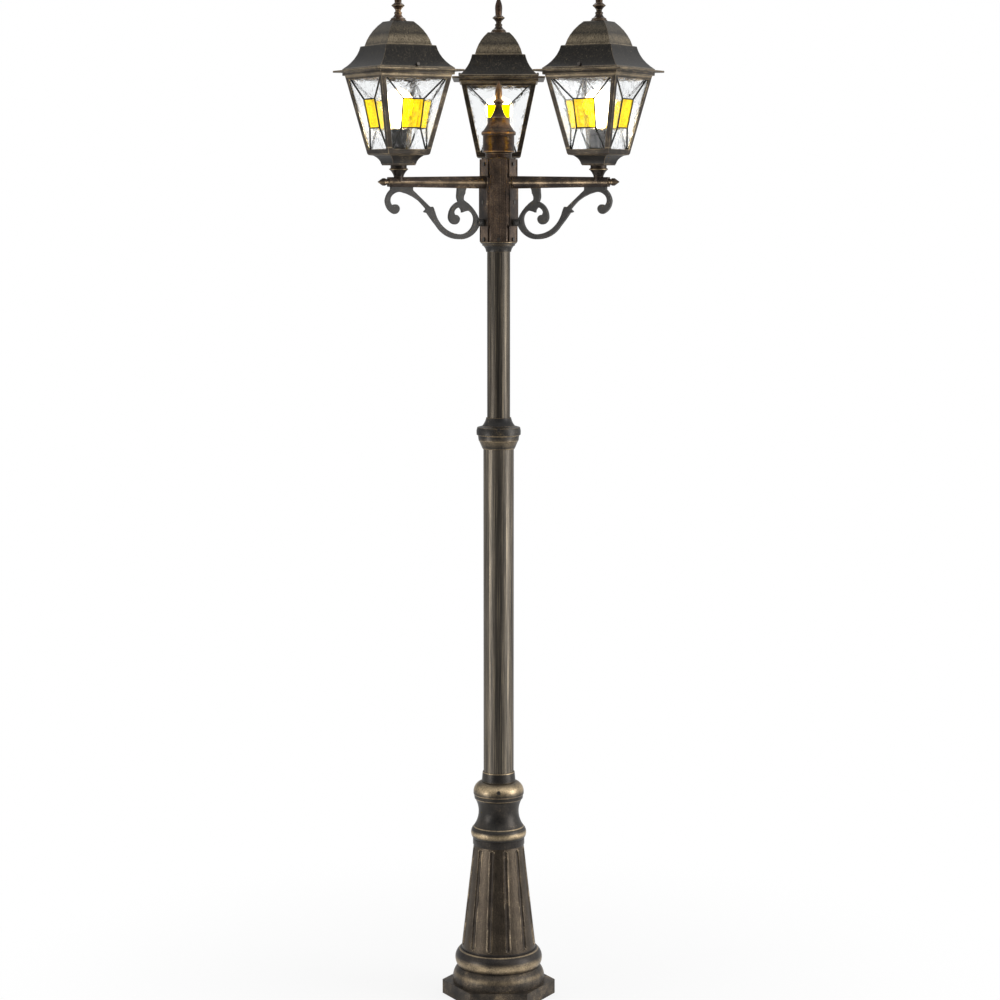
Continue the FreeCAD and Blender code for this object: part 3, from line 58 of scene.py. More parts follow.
def shader_tools(owner):
    """Empty the node tree of a world or material, and give back a function that fills it.

    That function adds one shader node and wires or sets its inputs by name or number."""
    owner.use_nodes = True
    tree = owner.node_tree
    tree.nodes.clear()

    def add(kind, inputs=None, **settings):
        made = tree.nodes.new("ShaderNode" + kind)
        for key, value in settings.items():
            setattr(made, key, value)
        for key, value in (inputs or {}).items():
            if isinstance(value, bpy.types.NodeSocket):
                tree.links.new(value, made.inputs[key])
            else:
                made.inputs[key].default_value = value
        return made

    return add


def maths(add, operation, *values):
    """The result of a sum on numbers or sockets."""
    return add("Math", dict(enumerate(values)), operation=operation).outputs[0]


def remap(add, value, start, end, low=0.0, high=1.0, smooth=False):
    """Carry a value over from the range start to end to the range low to high."""
    shape = "SMOOTHSTEP" if smooth else "LINEAR"
    return add("MapRange", {"Value": value, "From Min": start, "From Max": end,
                            "To Min": low, "To Max": high}, interpolation_type=shape).outputs[0]


def seen_directly(add):
    """1 for rays from the eye or through a pane, and 0 for the others."""
    path = add("LightPath").outputs
    return maths(add, "MAXIMUM", path["Is Camera Ray"], path["Is Transmission Ray"])


# The metal mirrors a room that is dim in front, brightest at the sides and a little dimmer at
# the back and on the left.
WHITE = (1.0, 1.0, 1.0, 1.0)
world = bpy.data.worlds.new("surround")
add = shader_tools(world)
toward = add("SeparateXYZ", {0: add("TexCoord").outputs["Generated"]}).outputs
sides = remap(add, toward["Y"], -0.97, -0.60, 0.13, 0.95, smooth=True)
back = remap(add, toward["Y"], 0.1, 0.9, 1.0, 0.6)
flank = remap(add, toward["X"], -0.6, 0.6, 0.72, 1.05)
room = maths(add, "MULTIPLY", maths(add, "MULTIPLY", sides, back), flank)
dim = add("Background", {"Color": WHITE, "Strength": room})
white = add("Background", {"Color": WHITE, "Strength": 1.0})
both = add("MixShader", {0: seen_directly(add), 1: dim.outputs[0], 2: white.outputs[0]})
add("OutputWorld", {"Surface": both.outputs[0]})
scene.world = world

# The floor glows white to the eye, and near the foot a little of its matt paint comes through
# and takes the shadow. In reflections it is all matt paint, darker towards the front.
floor_paint = bpy.data.materials.new("pale_floor")
add = shader_tools(floor_paint)
spot = add("TexCoord").outputs["Object"]
away = add("VectorMath", {0: spot}, operation="LENGTH").outputs["Value"]
ahead = add("VectorMath", {0: spot}, operation="NORMALIZE").outputs[0]
front = remap(add, add("SeparateXYZ", {0: ahead}).outputs["Y"], -0.97, -0.70, 0.4, 1.0,
              smooth=True)
near = remap(add, away, 0.30, 0.75, 1.0, 0.0)
tone = maths(add, "MULTIPLY", maths(add, "MAXIMUM", front, near), 0.85)
matt = add("BsdfDiffuse", {"Color": tone})
glow = add("Emission", {"Color": WHITE, "Strength": 1.0})
fade = remap(add, away, 0.25, 1.3, 0.82, 1.0, smooth=True)
share = maths(add, "MULTIPLY", seen_directly(add), fade)
both = add("MixShader", {0: share, 1: matt.outputs[0], 2: glow.outputs[0]})
add("OutputMaterial", {"Surface": both.outputs[0]})
bm = bmesh.new()
bmesh.ops.create_circle(bm, cap_ends=True, segments=64, radius=9.0)
floor_mesh = bpy.data.meshes.new("floor")
bm.to_mesh(floor_mesh)
bm.free()
floor_mesh.materials.append(floor_paint)
floor = bpy.data.objects.new("floor", floor_mesh)
FLOOR_GAP = 0.0005
floor.location.z = -FLOOR_GAP
scene.collection.objects.link(floor)


def soft_lamp(name, place, aim, width, height, power):
    """A rectangular soft box that faces a point on the mast."""
    lamp = bpy.data.objects.new(name, bpy.data.lights.new(name, "AREA"))
    lamp.data.shape = "RECTANGLE"
    lamp.data.size = width
    lamp.data.size_y = height
    lamp.data.energy = power
    lamp.location = place
    lamp.rotation_euler = (Vector(aim) - Vector(place)).to_track_quat("-Z", "Y").to_euler()
    scene.collection.objects.link(lamp)


soft_lamp("lamp_left", (-2.74, -1.45, 0.5), (0.0, 0.0, 0.6), width=1.1, height=1.3, power=20.0)
soft_lamp("lamp_right", (2.98, -0.95, 1.2), (0.0, 0.0, 1.0), width=1.6, height=2.6, power=42.0)
soft_lamp("lamp_high", (0.0, 1.8, 3.9), (0.0, 0.0, 1.6), width=1.6, height=1.0, power=16.0)


# ---------------------------------------------------------------- plinth
# The foot is one aluminium casting, open above and painted black before gold-bronze is
# rubbed over its edges. Three bolts through its floor hold the post down.

MM = 0.001
GOLD = (0.46, 0.35, 0.21)


def opaque(colour):
    """The four numbers of a colour socket."""
    return (*colour, 1.0)


def mix_value(add, share, first, second):
    """A number between two numbers or sockets."""
    return add("Mix", {0: share, 2: first, 3: second}, data_type="FLOAT").outputs[0]


def mix_colour(add, share, first, second):
    """A colour between two colours or sockets."""
    return add("Mix", {0: share, 6: first, 7: second}, data_type="RGBA").outputs[2]


def patina(name, dark, brown, gold, wear, bands=(), streak=0.0, cloud=1.0, rough=0.42,
           metal=0.7, grit_share=0.42):
    """Black coat on cast metal, with bronze rubbed through in patches, streaks and bands.

    bands lists (height, half width, strength), the first two in millimetres, for mouldings
    rubbed bright; on some pieces a band is also a painted highlight. streak, cloud and
    grit_share say how much of the rubbing follows long brush marks, soft patches and the grit
    of the casting."""
    material = bpy.data.materials.new(name)
    add = shader_tools(material)
    spot = add("TexCoord").outputs["Object"]
    patch = add("TexNoise", {"Vector": spot, "Scale": 30.0, "Detail": 4.0, "Roughness": 0.6})
    grit = add("TexNoise", {"Vector": spot, "Scale": 480.0, "Detail": 3.0, "Roughness": 0.75})
    drawn = add("Mapping", {"Vector": spot, "Scale": (1.0, 1.0, 0.012)})
    brushed = add("TexNoise", {"Vector": drawn.outputs[0], "Scale": 420.0, "Detail": 3.0,
                               "Roughness": 0.7})
    even = mix_value(add, cloud, 0.5, patch.outputs[0])
    line = mix_value(add, streak, even, brushed.outputs[0])
    speck = mix_value(add, grit_share, line, grit.outputs[0])
    # The more wear, the lower the noise above which bronze comes through the coat.
    rub_and_highlight = remap(add, speck, 0.60 - 0.16 * wear, 0.74 - 0.12 * wear, 0.0, 0.7, smooth=True)
    height = add("SeparateXYZ", {0: spot}).outputs["Z"]
    patchy = remap(add, speck, 0.41, 0.57, 0.2, 1.0)
    # Each band brightens the bronze at its height: rubbed wear, and on some pieces a painted
    # highlight.
    for level, half, strength in bands:
        off = maths(add, "ABSOLUTE", maths(add, "SUBTRACT", height, level * MM))
        near = remap(add, off, half * MM, 0.0, 0.0, strength, smooth=True)
        rub_and_highlight = maths(add, "MAXIMUM", rub_and_highlight, maths(add, "MULTIPLY", near, patchy))
    coat = mix_colour(add, remap(add, speck, 0.40, 0.60), opaque(dark), opaque(brown))
    dull = remap(add, grit.outputs[0], 0.3, 0.7, rough - 0.06, rough + 0.10)
    relief = add("Bump", {"Strength": 0.7 * grit_share, "Distance": 0.0005, "Height": speck})
    surface = add("BsdfPrincipled", {
        "Base Color": mix_colour(add, rub_and_highlight, coat, opaque(gold)),
        "Metallic": remap(add, rub_and_highlight, 0.0, 1.0, metal, 1.0),
        "Roughness": maths(add, "MULTIPLY_ADD", rub_and_highlight, -0.05, dull),
        "Normal": relief.outputs[0],
    })
    add("OutputMaterial", {"Surface": surface.outputs[0]})
    return material


def piece(bm, name, body, slot, stands_for, materials, rounding=0.0, smooth=35.0):
    """Turn a finished bmesh into a piece that rides on a body and stands for CAD nodes.

    Edges bent by more than smooth degrees are sharp. rounding breaks them, in millimetres,
    and gives them the second material."""
    mesh = bpy.data.meshes.new(name)
    bm.to_mesh(mesh)
    bm.free()
    mesh.polygons.foreach_set("use_smooth", [True] * len(mesh.polygons))
    mesh.set_sharp_from_angle(angle=math.radians(smooth))
    for material in materials:
        mesh.materials.append(material)
    made = bpy.data.objects.new(name, mesh)
    scene.collection.objects.link(made)
    if rounding:
        bevel = made.modifiers.new("rounded_edges", "BEVEL")
        bevel.width = rounding * MM
        bevel.segments = 2
        bevel.limit_method = "ANGLE"
        bevel.angle_limit = math.radians(smooth)
        # The second material is the lighter edge finish: rubbed wear, and on the hub, cage and
        # scrolls also a painted highlight.
        bevel.material = min(1, len(materials) - 1)
    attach(made, body)
    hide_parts(*stands_for)


def casting(bm, name, materials, **finish):
    """A cast piece of the post, in place of the CAD node of the same name."""
    piece(bm, name, "post", "cast_body", [name], materials, **finish)


def recast(node):
    """A working copy of a cast part, with its loose triangles joined into whole faces."""
    bm = bmesh.new()
    bm.from_mesh(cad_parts[node].data)
    bmesh.ops.remove_doubles(bm, verts=bm.verts, dist=0.000004)
    bmesh.ops.dissolve_limit(bm, angle_limit=math.radians(0.8), verts=bm.verts, edges=bm.edges)
    return bm


edge_bronze = patina("edge_bronze", (0.12, 0.09, 0.06), (0.26, 0.195, 0.12), GOLD, 0.9,
                     rough=0.36)
foot_bronze = patina("foot_bronze", (0.030, 0.026, 0.022), (0.115, 0.091, 0.068), GOLD, 0.4,
                     bands=((52.0, 8.0, 0.40),))
casting(recast("plinth"), "plinth", [foot_bronze, edge_bronze], rounding=0.9)


# ---------------------------------------------------------------- screws of the foot
# Grub screws that hold the mast's foot in its socket, and the two blackened clamping screws
# in the neck and in the collar. They stay as the CAD nodes, in plain steel.


def plain(name, colour, rough, metal=0.0, grain=900.0, gleam=0.5):
    """One colour with a fine grain in its gloss and surface."""
    material = bpy.data.materials.new(name)
    add = shader_tools(material)
    spot = add("TexCoord").outputs["Object"]
    grit = add("TexNoise", {"Vector": spot, "Scale": grain, "Detail": 3.0}).outputs[0]
    darker = opaque(part * 0.82 for part in colour)
    lighter = opaque(min(1.0, part * 1.12) for part in colour)
    relief = add("Bump", {"Strength": 0.12, "Distance": 0.0003, "Height": grit})
    surface = add("BsdfPrincipled", {
        "Base Color": mix_colour(add, grit, darker, lighter), "Metallic": metal,
        "Roughness": remap(add, grit, 0.0, 1.0, rough - 0.05, rough + 0.07),
        "Specular IOR Level": gleam, "Normal": relief.outputs[0],
    })
    add("OutputMaterial", {"Surface": surface.outputs[0]})
    return material


def finish_node(node, material):
    """Give a CAD node that stays in view its finish."""
    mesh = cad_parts[node].data
    mesh.materials.clear()
    mesh.materials.append(material)


bright_steel = plain("bright_steel", (0.42, 0.40, 0.37), 0.3, metal=1.0)
black_steel = plain("black_steel", (0.11, 0.10, 0.09), 0.38, metal=0.9)
finish_node("foot_screws", bright_steel)
finish_node("set_screws", black_steel)


# ---------------------------------------------------------------- pedestal
# A slip-on aluminium casting: half-round ring, tapered column with twelve round-ended flutes
# and a band at its top. The ring and the raised rims of the flutes are rubbed bright, and the
# rims are painted lighter still as highlight lines. The grooves are painted darker, as shade.

ARC_STEP = 7.0


def outline(corners):
    """Points along (across, up) corners; a third number bows the next side by that many degrees."""
    points = []
    for here, there in zip(corners, corners[1:] + corners[:1]):
        start = Vector((here[0], here[1]))
        finish = Vector((there[0], there[1]))
        points.append(start)
        if len(here) < 3:
            continue
        half = math.radians(abs(here[2])) / 2.0
        chord = finish - start
        way = 1.0 if here[2] > 0 else -1.0
        middle = (start + finish) / 2.0
        side = Vector((-chord.y, chord.x)).normalized() * way
        centre = middle + side * (chord.length / 2.0 / math.tan(half))
        steps = max(3, round(abs(here[2]) / ARC_STEP))
        spoke = start - centre
        for step in range(1, steps):
            turn = way * 2.0 * half * step / steps
            turned_spoke = Vector((spoke.x * math.cos(turn) - spoke.y * math.sin(turn),
                                   spoke.x * math.sin(turn) + spoke.y * math.cos(turn)))
            points.append(centre + turned_spoke)
    return points


def spun(points, steps):
    """Spin a closed loop of points once about the upright axis."""
    bm = bmesh.new()
    ring = [bm.verts.new(point) for point in points]
    wire = [bm.edges.new(pair) for pair in zip(ring, ring[1:] + ring[:1])]
    bmesh.ops.spin(bm, geom=ring + wire, cent=(0.0, 0.0, 0.0), axis=(0.0, 0.0, 1.0),
                   angle=math.tau, steps=steps, use_merge=True)
    bmesh.ops.remove_doubles(bm, verts=bm.verts, dist=0.000002)
    bmesh.ops.dissolve_degenerate(bm, dist=0.000001, edges=bm.edges)
    bmesh.ops.recalc_face_normals(bm, faces=bm.faces)
    return bm


def turned(corners, level, steps=96):
    """A round piece from its outline of (radius, height) in millimetres above a level."""
    return spun([(point.x * MM, 0.0, (point.y + level) * MM) for point in outline(corners)],
                steps)


column_bronze = patina("column_bronze", (0.040, 0.032, 0.025), (0.120, 0.094, 0.068), GOLD, 0.35,
                       streak=0.35, cloud=0.5, rough=0.36, metal=0.9)
# The grooves' coat is darker and less rubbed than the column's: painted shade.
flute_painted_shade = patina("flute_painted_shade", (0.030, 0.024, 0.019), (0.080, 0.062, 0.046), GOLD, 0.1)
rim_bronze = patina("rim_bronze", (0.085, 0.068, 0.050), (0.22, 0.175, 0.127), GOLD, 0.7,
                    rough=0.36, metal=0.9)
ring_bronze = patina("ring_bronze", (0.020, 0.018, 0.018), (0.064, 0.053, 0.044),
                     (0.66, 0.51, 0.32), 0.2, bands=((79.0, 14.0, 1.0), (104.0, 1.8, 0.7)),
                     cloud=0.6, rough=0.36)
FLUTE_SHADE_COAT, RIM_HIGHLIGHT_COAT, RING_COAT = 1, 2, 3
PEDESTAL_LEVEL = 66.0
PEDESTAL_HEIGHT = 288.0
COLUMN_LEVEL = 44.0
COLUMN_HEIGHT = 229.0
COLUMN_RADIUS = 82.0
COLUMN_WALL = 6.0
TAPER = 26.6
ROWS = 92
skin = [(COLUMN_RADIUS - TAPER * row / ROWS, COLUMN_LEVEL + COLUMN_HEIGHT * row / ROWS)
        for row in range(1, ROWS)]
column = turned([
    (88.0, 0.0), (88.0, 2.0), (91.0, 2.0, 95.0), (84.5, 40.0), (82.0, 40.0),
    (COLUMN_RADIUS, COLUMN_LEVEL),
] + skin + [
    (55.4, 273.0), (57.0, 275.0), (57.0, PEDESTAL_HEIGHT), (33.6, PEDESTAL_HEIGHT),
    (33.6, 282.0), (49.4, 282.0), (49.4, 273.0), (76.0, COLUMN_LEVEL), (82.0, 2.0), (82.0, 0.0),
], PEDESTAL_LEVEL, steps=360)

FLUTE_PITCH = 30.0
FLUTE_FOOT = 120.0
FLUTE_HEAD = 329.5
GROOVE_HALF = 4.9
GROOVE_DEPTH = 2.9
RIM_HALF = 6.6
RIM_RISE = 0.5
END_MARGIN = 0.5


def flute_reach(spot):
    """Distance in millimetres from a point on the column to the nearest flute's middle line."""
    turn = (math.degrees(math.atan2(spot.y, spot.x)) - FLUTE_PITCH / 2.0) % FLUTE_PITCH
    across = math.radians(min(turn, FLUTE_PITCH - turn)) * spot.xy.length / MM
    beyond = max(0.0, FLUTE_FOOT - spot.z / MM, spot.z / MM - FLUTE_HEAD)
    return math.hypot(across, beyond)


def on_skin(spot):
    """True for a point on the outside of the tapered column, clear of its two ends."""
    height = spot.z / MM - PEDESTAL_LEVEL - COLUMN_LEVEL
    mid_wall = COLUMN_RADIUS - COLUMN_WALL / 2.0 - TAPER / COLUMN_HEIGHT * height
    return (END_MARGIN < height < COLUMN_HEIGHT - END_MARGIN
            and spot.xy.length / MM > mid_wall)


for vert in column.verts:
    reach = flute_reach(vert.co)
    if on_skin(vert.co) and reach < RIM_HALF:
        lift = RIM_RISE
        if reach < GROOVE_HALF:
            lift = -GROOVE_DEPTH * math.sqrt(1.0 - (reach / GROOVE_HALF) ** 2)
        vert.co.xy *= 1.0 + lift * MM / vert.co.xy.length
for face in column.faces:
    middle = face.calc_center_median()
    reach = flute_reach(middle)
    height = middle.z / MM - PEDESTAL_LEVEL - COLUMN_LEVEL
    if on_skin(middle) and reach < RIM_HALF - 0.2:
        face.material_index = FLUTE_SHADE_COAT if reach < GROOVE_HALF - 0.3 else RIM_HIGHLIGHT_COAT
    if height < -END_MARGIN or height > COLUMN_HEIGHT + END_MARGIN:
        face.material_index = RING_COAT
casting(column, "pedestal", [column_bronze, flute_painted_shade, rim_bronze, ring_bronze], smooth=42.0)


# ---------------------------------------------------------------- neck and sleeve
# The neck is an aluminium casting that slips over the mast: ring, waisted bell, beaded cup
# and rounded vase. A plain ring closes it round the tube.

neck_bronze = patina("neck_bronze", (0.022, 0.021, 0.020), (0.066, 0.057, 0.048),
                     (0.74, 0.57, 0.35), 0.15,
                     bands=((366.0, 8.5, 1.0), (380.5, 1.5, 0.8), (469.0, 16.0, 0.95),
                            (452.5, 1.8, 1.0), (443.0, 1.6, 0.9), (502.0, 1.6, 0.8)),
                     cloud=0.6, rough=0.35)
NECK_LEVEL = PEDESTAL_LEVEL + PEDESTAL_HEIGHT
NECK_HEIGHT = 127.0
neck = turned([
    (56.5, 0.0, 88.0), (54.9, 27.0, -35.6), (44.3, 60.0, -29.6), (51.7, 88.0), (53.3, 89.0),
    (54.4, 98.0), (55.6, 99.0), (55.6, 106.0, 67.0), (39.0, NECK_HEIGHT), (33.6, NECK_HEIGHT),
    (33.6, 98.0), (46.5, 88.0), (39.1, 65.2), (39.1, 54.8), (49.7, 27.0), (49.7, 0.0),
], NECK_LEVEL)
casting(neck, "neck", [neck_bronze, edge_bronze], rounding=0.5)
sleeve = turned([
    (33.6, 0.0), (37.2, 0.0), (37.2, 2.0), (35.5, 20.5), (35.0, 22.0), (33.6, 22.0),
], NECK_LEVEL + NECK_HEIGHT)
casting(sleeve, "sleeve", [neck_bronze, edge_bronze], rounding=0.5)


# ---------------------------------------------------------------- masts
# Two drawn aluminium tubes, the upper one thinner. Bronze is brushed down them in long
# streaks over the black, which leaves dark lines between. Both end on a web in the collar.


def tube(inner, outer, foot, length, steps):
    """A plain tube between two radii, upwards from its foot."""
    return turned([(inner, 0.0), (outer, 0.0), (outer, length), (inner, length)], foot, steps)


BRUSHED_DOWN = {"streak": 0.9, "cloud": 0.15, "rough": 0.37, "metal": 0.95, "grit_share": 0.12}
mast_bronze = patina("mast_bronze", (0.062, 0.056, 0.048), (0.180, 0.154, 0.122),
                     (0.44, 0.36, 0.25), 0.5, **BRUSHED_DOWN)
# The upper tube's bronze is a darker copy of the lower tube's: painted shade.
upper_shaded_bronze = patina("upper_shaded_bronze", (0.044, 0.040, 0.034), (0.128, 0.109, 0.087),
                      (0.32, 0.26, 0.18), 0.5, **BRUSHED_DOWN)
MAST_FOOT = 8.0
COLLAR_LEVEL = 1219.0
WEB_FOOT = 30.0
WEB_HEAD = 35.0
lower_mast = tube(29.3, 33.3, MAST_FOOT, COLLAR_LEVEL + WEB_FOOT - MAST_FOOT, steps=128)
piece(lower_mast, "lower_mast", "post", "mast_tube", ["lower_mast"], [mast_bronze], rounding=0.4)
upper_mast = tube(22.0, 25.0, COLLAR_LEVEL + WEB_HEAD, 436.0, steps=128)
piece(upper_mast, "upper_mast", "post", "mast_tube", ["upper_mast"], [upper_shaded_bronze],
      rounding=0.4)


# ---------------------------------------------------------------- collar between the masts
# An aluminium casting with a cone and band below and a scotia above. Its step is a bright
# line, and a small screw in front clamps the upper tube.

collar_bronze = patina("collar_bronze", (0.022, 0.021, 0.021), (0.062, 0.056, 0.049), GOLD, 0.2,
                       bands=((1237.5, 1.8, 1.0), (1249.0, 1.4, 0.7), (1220.5, 1.5, 0.8),
                              (1233.0, 14.0, 0.35), (1669.0, 1.5, 0.9)), rough=0.33)
collar = turned([
    (33.6, 0.0), (34.9, 0.0), (36.7, 4.0), (42.7, 18.0), (43.7, 18.5), (45.2, 30.0),
    (48.2, 31.0), (48.5, 40.0), (46.8, 47.5), (36.0, 50.5, -34.0), (27.2, 69.0), (25.3, 69.0),
    (25.3, WEB_HEAD), (22.0, WEB_HEAD), (22.0, WEB_FOOT), (33.6, WEB_FOOT),
], COLLAR_LEVEL)
casting(collar, "mast_collar", [collar_bronze, edge_bronze], rounding=0.6)


# ---------------------------------------------------------------- hub
# The head of the mast, cast in aluminium: a moulded foot, then a barrel with three ribs, three
# flats for the arms and slots between them. Small screws fix the cap, the arms and the foot,
# and a pale connector inside joins the leads.

hub_bronze = patina("hub_bronze", (0.040, 0.030, 0.025), (0.240, 0.166, 0.116),
                    (0.52, 0.36, 0.23), 0.5, streak=0.45, rough=0.38)
# The edges of the hub's ribs and flats are rubbed bronze, made brighter as a painted highlight.
hub_highlit_edge = patina("hub_highlit_edge", (0.16, 0.125, 0.09), (0.36, 0.28, 0.19), (0.66, 0.52, 0.34), 0.95,
                  rough=0.34)
hub_foot = turned([
    (25.3, 0.0), (27.0, 0.0, -40.0), (33.3, 13.0), (35.5, 13.5), (35.7, 16.5), (40.0, 20.0),
    (40.0, 22.0), (25.3, 22.0),
], level=1648.0)
casting(hub_foot, "hub_foot", [collar_bronze, edge_bronze], rounding=0.5)
casting(recast("hub"), "hub", [hub_bronze, hub_highlit_edge], rounding=1.2)
finish_node("hub_screws", black_steel)
connector = plain("connector", (0.82, 0.81, 0.76), 0.5)
finish_node("terminal_block", connector)


# ---------------------------------------------------------------- cap and finial of the hub
# A hollow casting on a spigot closes the hub: flange, neck, ring and drum. The finial screws
# over the drum's rim: a ring, a bell, a cone, a pointed bead and a bud.

cap_bronze = patina("cap_bronze", (0.024, 0.017, 0.013), (0.110, 0.064, 0.040),
                    (0.60, 0.35, 0.17), 0.35,
                    bands=((1864.0, 2.6, 0.9), (1904.0, 3.0, 0.6), (1925.0, 14.0, 0.45),
                           (1985.0, 42.0, 0.65)), rough=0.34)
CAP_LEVEL = 1848.0
DRUM_TOP = 51.0
hub_cap = turned([
    (22.7, -16.0), (29.7, -16.0), (29.7, 0.0), (33.0, 0.0), (33.0, 1.5), (28.5, 3.0),
    (28.5, 12.0, -40.0), (33.1, 14.0), (34.6, 15.0), (34.6, 17.0), (33.9, 18.0),
    (33.9, DRUM_TOP), (31.3, DRUM_TOP), (31.3, 56.7), (28.9, 56.7), (28.9, 18.0), (22.7, 12.0),
], CAP_LEVEL)
casting(hub_cap, "hub_cap", [cap_bronze, edge_bronze], rounding=0.5)


def bud(radius, foot, length):
    """The side of a bud from its widest part up to its blunt tip."""
    rings = [index / 8.0 for index in range(9)]
    return [(radius * (1.0 - 0.93 * ring ** 1.8), foot + length * ring) for ring in rings] + [
        (0.0, foot + length)]


hub_finial = turned([
    (0.0, 6.0), (31.6, 6.0), (31.6, 0.0), (36.1, 0.0, 70.0), (36.1, 8.0), (31.3, 12.0),
    (31.3, 13.5, -42.0), (21.8, 38.0), (17.6, 39.0, -30.0), (7.0, 66.0), (12.8, 70.9),
    (12.8, 72.7), (7.2, 77.6),
] + bud(7.7, 91.6, 25.0), CAP_LEVEL + DRUM_TOP)
casting(hub_finial, "hub_finial", [cap_bronze, edge_bronze], rounding=0.4)


# ---------------------------------------------------------------- arms and scrolls
# Each arm is a ridged casting on a plate that screws to a flat of the hub. Under it hangs a
# flat S-scroll, sand cast, matt and greyer than the rest.

ARMS = {"left": 210.0, "right": 330.0, "rear": 90.0}
ARM_LEVEL = 1798.0
SCROLL_THICK = 8.0
SCROLL = [
    (211.0, -10.6), (263.6, -9.8), (263.6, -16.0, -40.0), (276.6, -38.5, -71.8),
    (255.6, -67.5, -85.0), (243.0, -56.7, -132.0), (259.7, -49.6, 54.0), (265.3, -38.6, 47.0),
    (260.7, -28.1, 54.4), (237.4, -21.5, 24.4), (196.8, -39.2, 8.0), (178.7, -57.2),
    (184.8, -62.9, -30.0), (176.7, -65.3, -6.0), (154.2, -92.6, -54.0), (99.7, -122.0, -70.4),
    (48.6, -92.0), (48.6, -81.0, -38.0), (87.2, -38.2, 60.0), (84.0, -24.0, 30.0),
    (81.0, -12.4), (102.5, -12.1), (103.7, -25.4, -40.0), (100.7, -41.5, -70.0),
    (124.3, -73.8, -88.4), (108.9, -90.3, -85.0), (97.4, -77.8, -87.0), (108.9, -69.6, 20.0),
    (111.2, -64.0, 75.0), (98.4, -54.0, 75.0), (92.4, -65.1, 20.0), (74.7, -60.7, 70.0),
    (62.1, -79.8, 88.4), (94.4, -111.2, 69.4), (156.3, -68.3, -14.0), (162.7, -52.0),
    (169.3, -52.8), (211.0, -17.0),
]
STUB_RADIUS = 7.6
STUB_LENGTH = 14.4
STUB_OUT = 46.4
STUB_DROP = 86.5


def about_mast(side):
    """The turn from +X to the side that an arm points to."""
    return Matrix.Rotation(math.radians(ARMS[side]), 4, "Z")


def scroll_plate():
    """The flat S as a plate towards +X, with the round stub that ties it to the hub."""
    bm = bmesh.new()
    bm.faces.new([
        bm.verts.new((point.x * MM, -SCROLL_THICK / 2.0 * MM, (ARM_LEVEL + point.y) * MM))
        for point in outline(SCROLL)])
    grown = bmesh.ops.extrude_face_region(bm, geom=list(bm.faces))
    far = [item for item in grown["geom"] if isinstance(item, bmesh.types.BMVert)]
    bmesh.ops.translate(bm, vec=(0.0, SCROLL_THICK * MM, 0.0), verts=far)
    bmesh.ops.recalc_face_normals(bm, faces=bm.faces)
    place = Matrix.Translation((STUB_OUT * MM, 0.0, (ARM_LEVEL - STUB_DROP) * MM))
    bmesh.ops.create_cone(bm, cap_ends=True, segments=48, radius1=STUB_RADIUS * MM,
                          radius2=STUB_RADIUS * MM, depth=STUB_LENGTH * MM,
                          matrix=place @ Matrix.Rotation(math.radians(90.0), 4, "Y"))
    return bm


# The band at the arms' middle height is their ridge, rubbed to bronze and brightened as a painted
# highlight.
arm_bronze = patina("arm_bronze", (0.024, 0.019, 0.017), (0.095, 0.066, 0.047),
                    (0.60, 0.44, 0.27), 0.35, bands=((1797.0, 3.6, 0.8),), rough=0.34)
scroll_grey = patina("scroll_grey", (0.055, 0.053, 0.051), (0.092, 0.087, 0.081),
                     (0.22, 0.19, 0.15), 0.1, rough=0.55, metal=0.5)
# The scrolls' edges are a lighter grey: a little rubbed, and painted lighter as a highlight.
scroll_highlit_edge = patina("scroll_highlit_edge", (0.10, 0.097, 0.092), (0.17, 0.16, 0.148),
                     (0.30, 0.26, 0.20), 0.3, rough=0.45, metal=0.6)
for side in ARMS:
    casting(recast(f"{side}_arm"), f"{side}_arm", [arm_bronze, edge_bronze], rounding=0.5)
    plate = scroll_plate()
    bmesh.ops.transform(plate, matrix=about_mast(side), verts=plate.verts)
    piece(plate, f"{side}_scroll", "post", "scroll_metal", [f"{side}_scroll"],
          [scroll_grey, scroll_highlit_edge], rounding=0.9)


# ---------------------------------------------------------------- stem, tube and pan
# A turned stem and a square bowl carry each lantern. A threaded brass tube runs up through
# them from the arm into the lampholder and takes the wire.

REACH = 244.0
STEM_LEVEL = ARM_LEVEL + 11.0
STEM_HEIGHT = 24.0
PAN_HEIGHT = 23.5


def squared(corners, level):
    """A piece with square sections from its outline of (half width, height) above a level."""
    return spun([(point.x * MM, point.x * MM, (point.y + level) * MM)
                 for point in outline(corners)], steps=4)


def lantern_piece(bm, side, part, slot, materials, body="post", **finish):
    """Hang a bmesh, made on a lantern's own axis, on its arm in place of a CAD node."""
    out = Matrix.Translation((REACH * MM, 0.0, 0.0))
    bmesh.ops.transform(bm, matrix=about_mast(side) @ out, verts=bm.verts)
    name = f"{side}_{part}"
    piece(bm, name, body, slot, [name], materials, **finish)


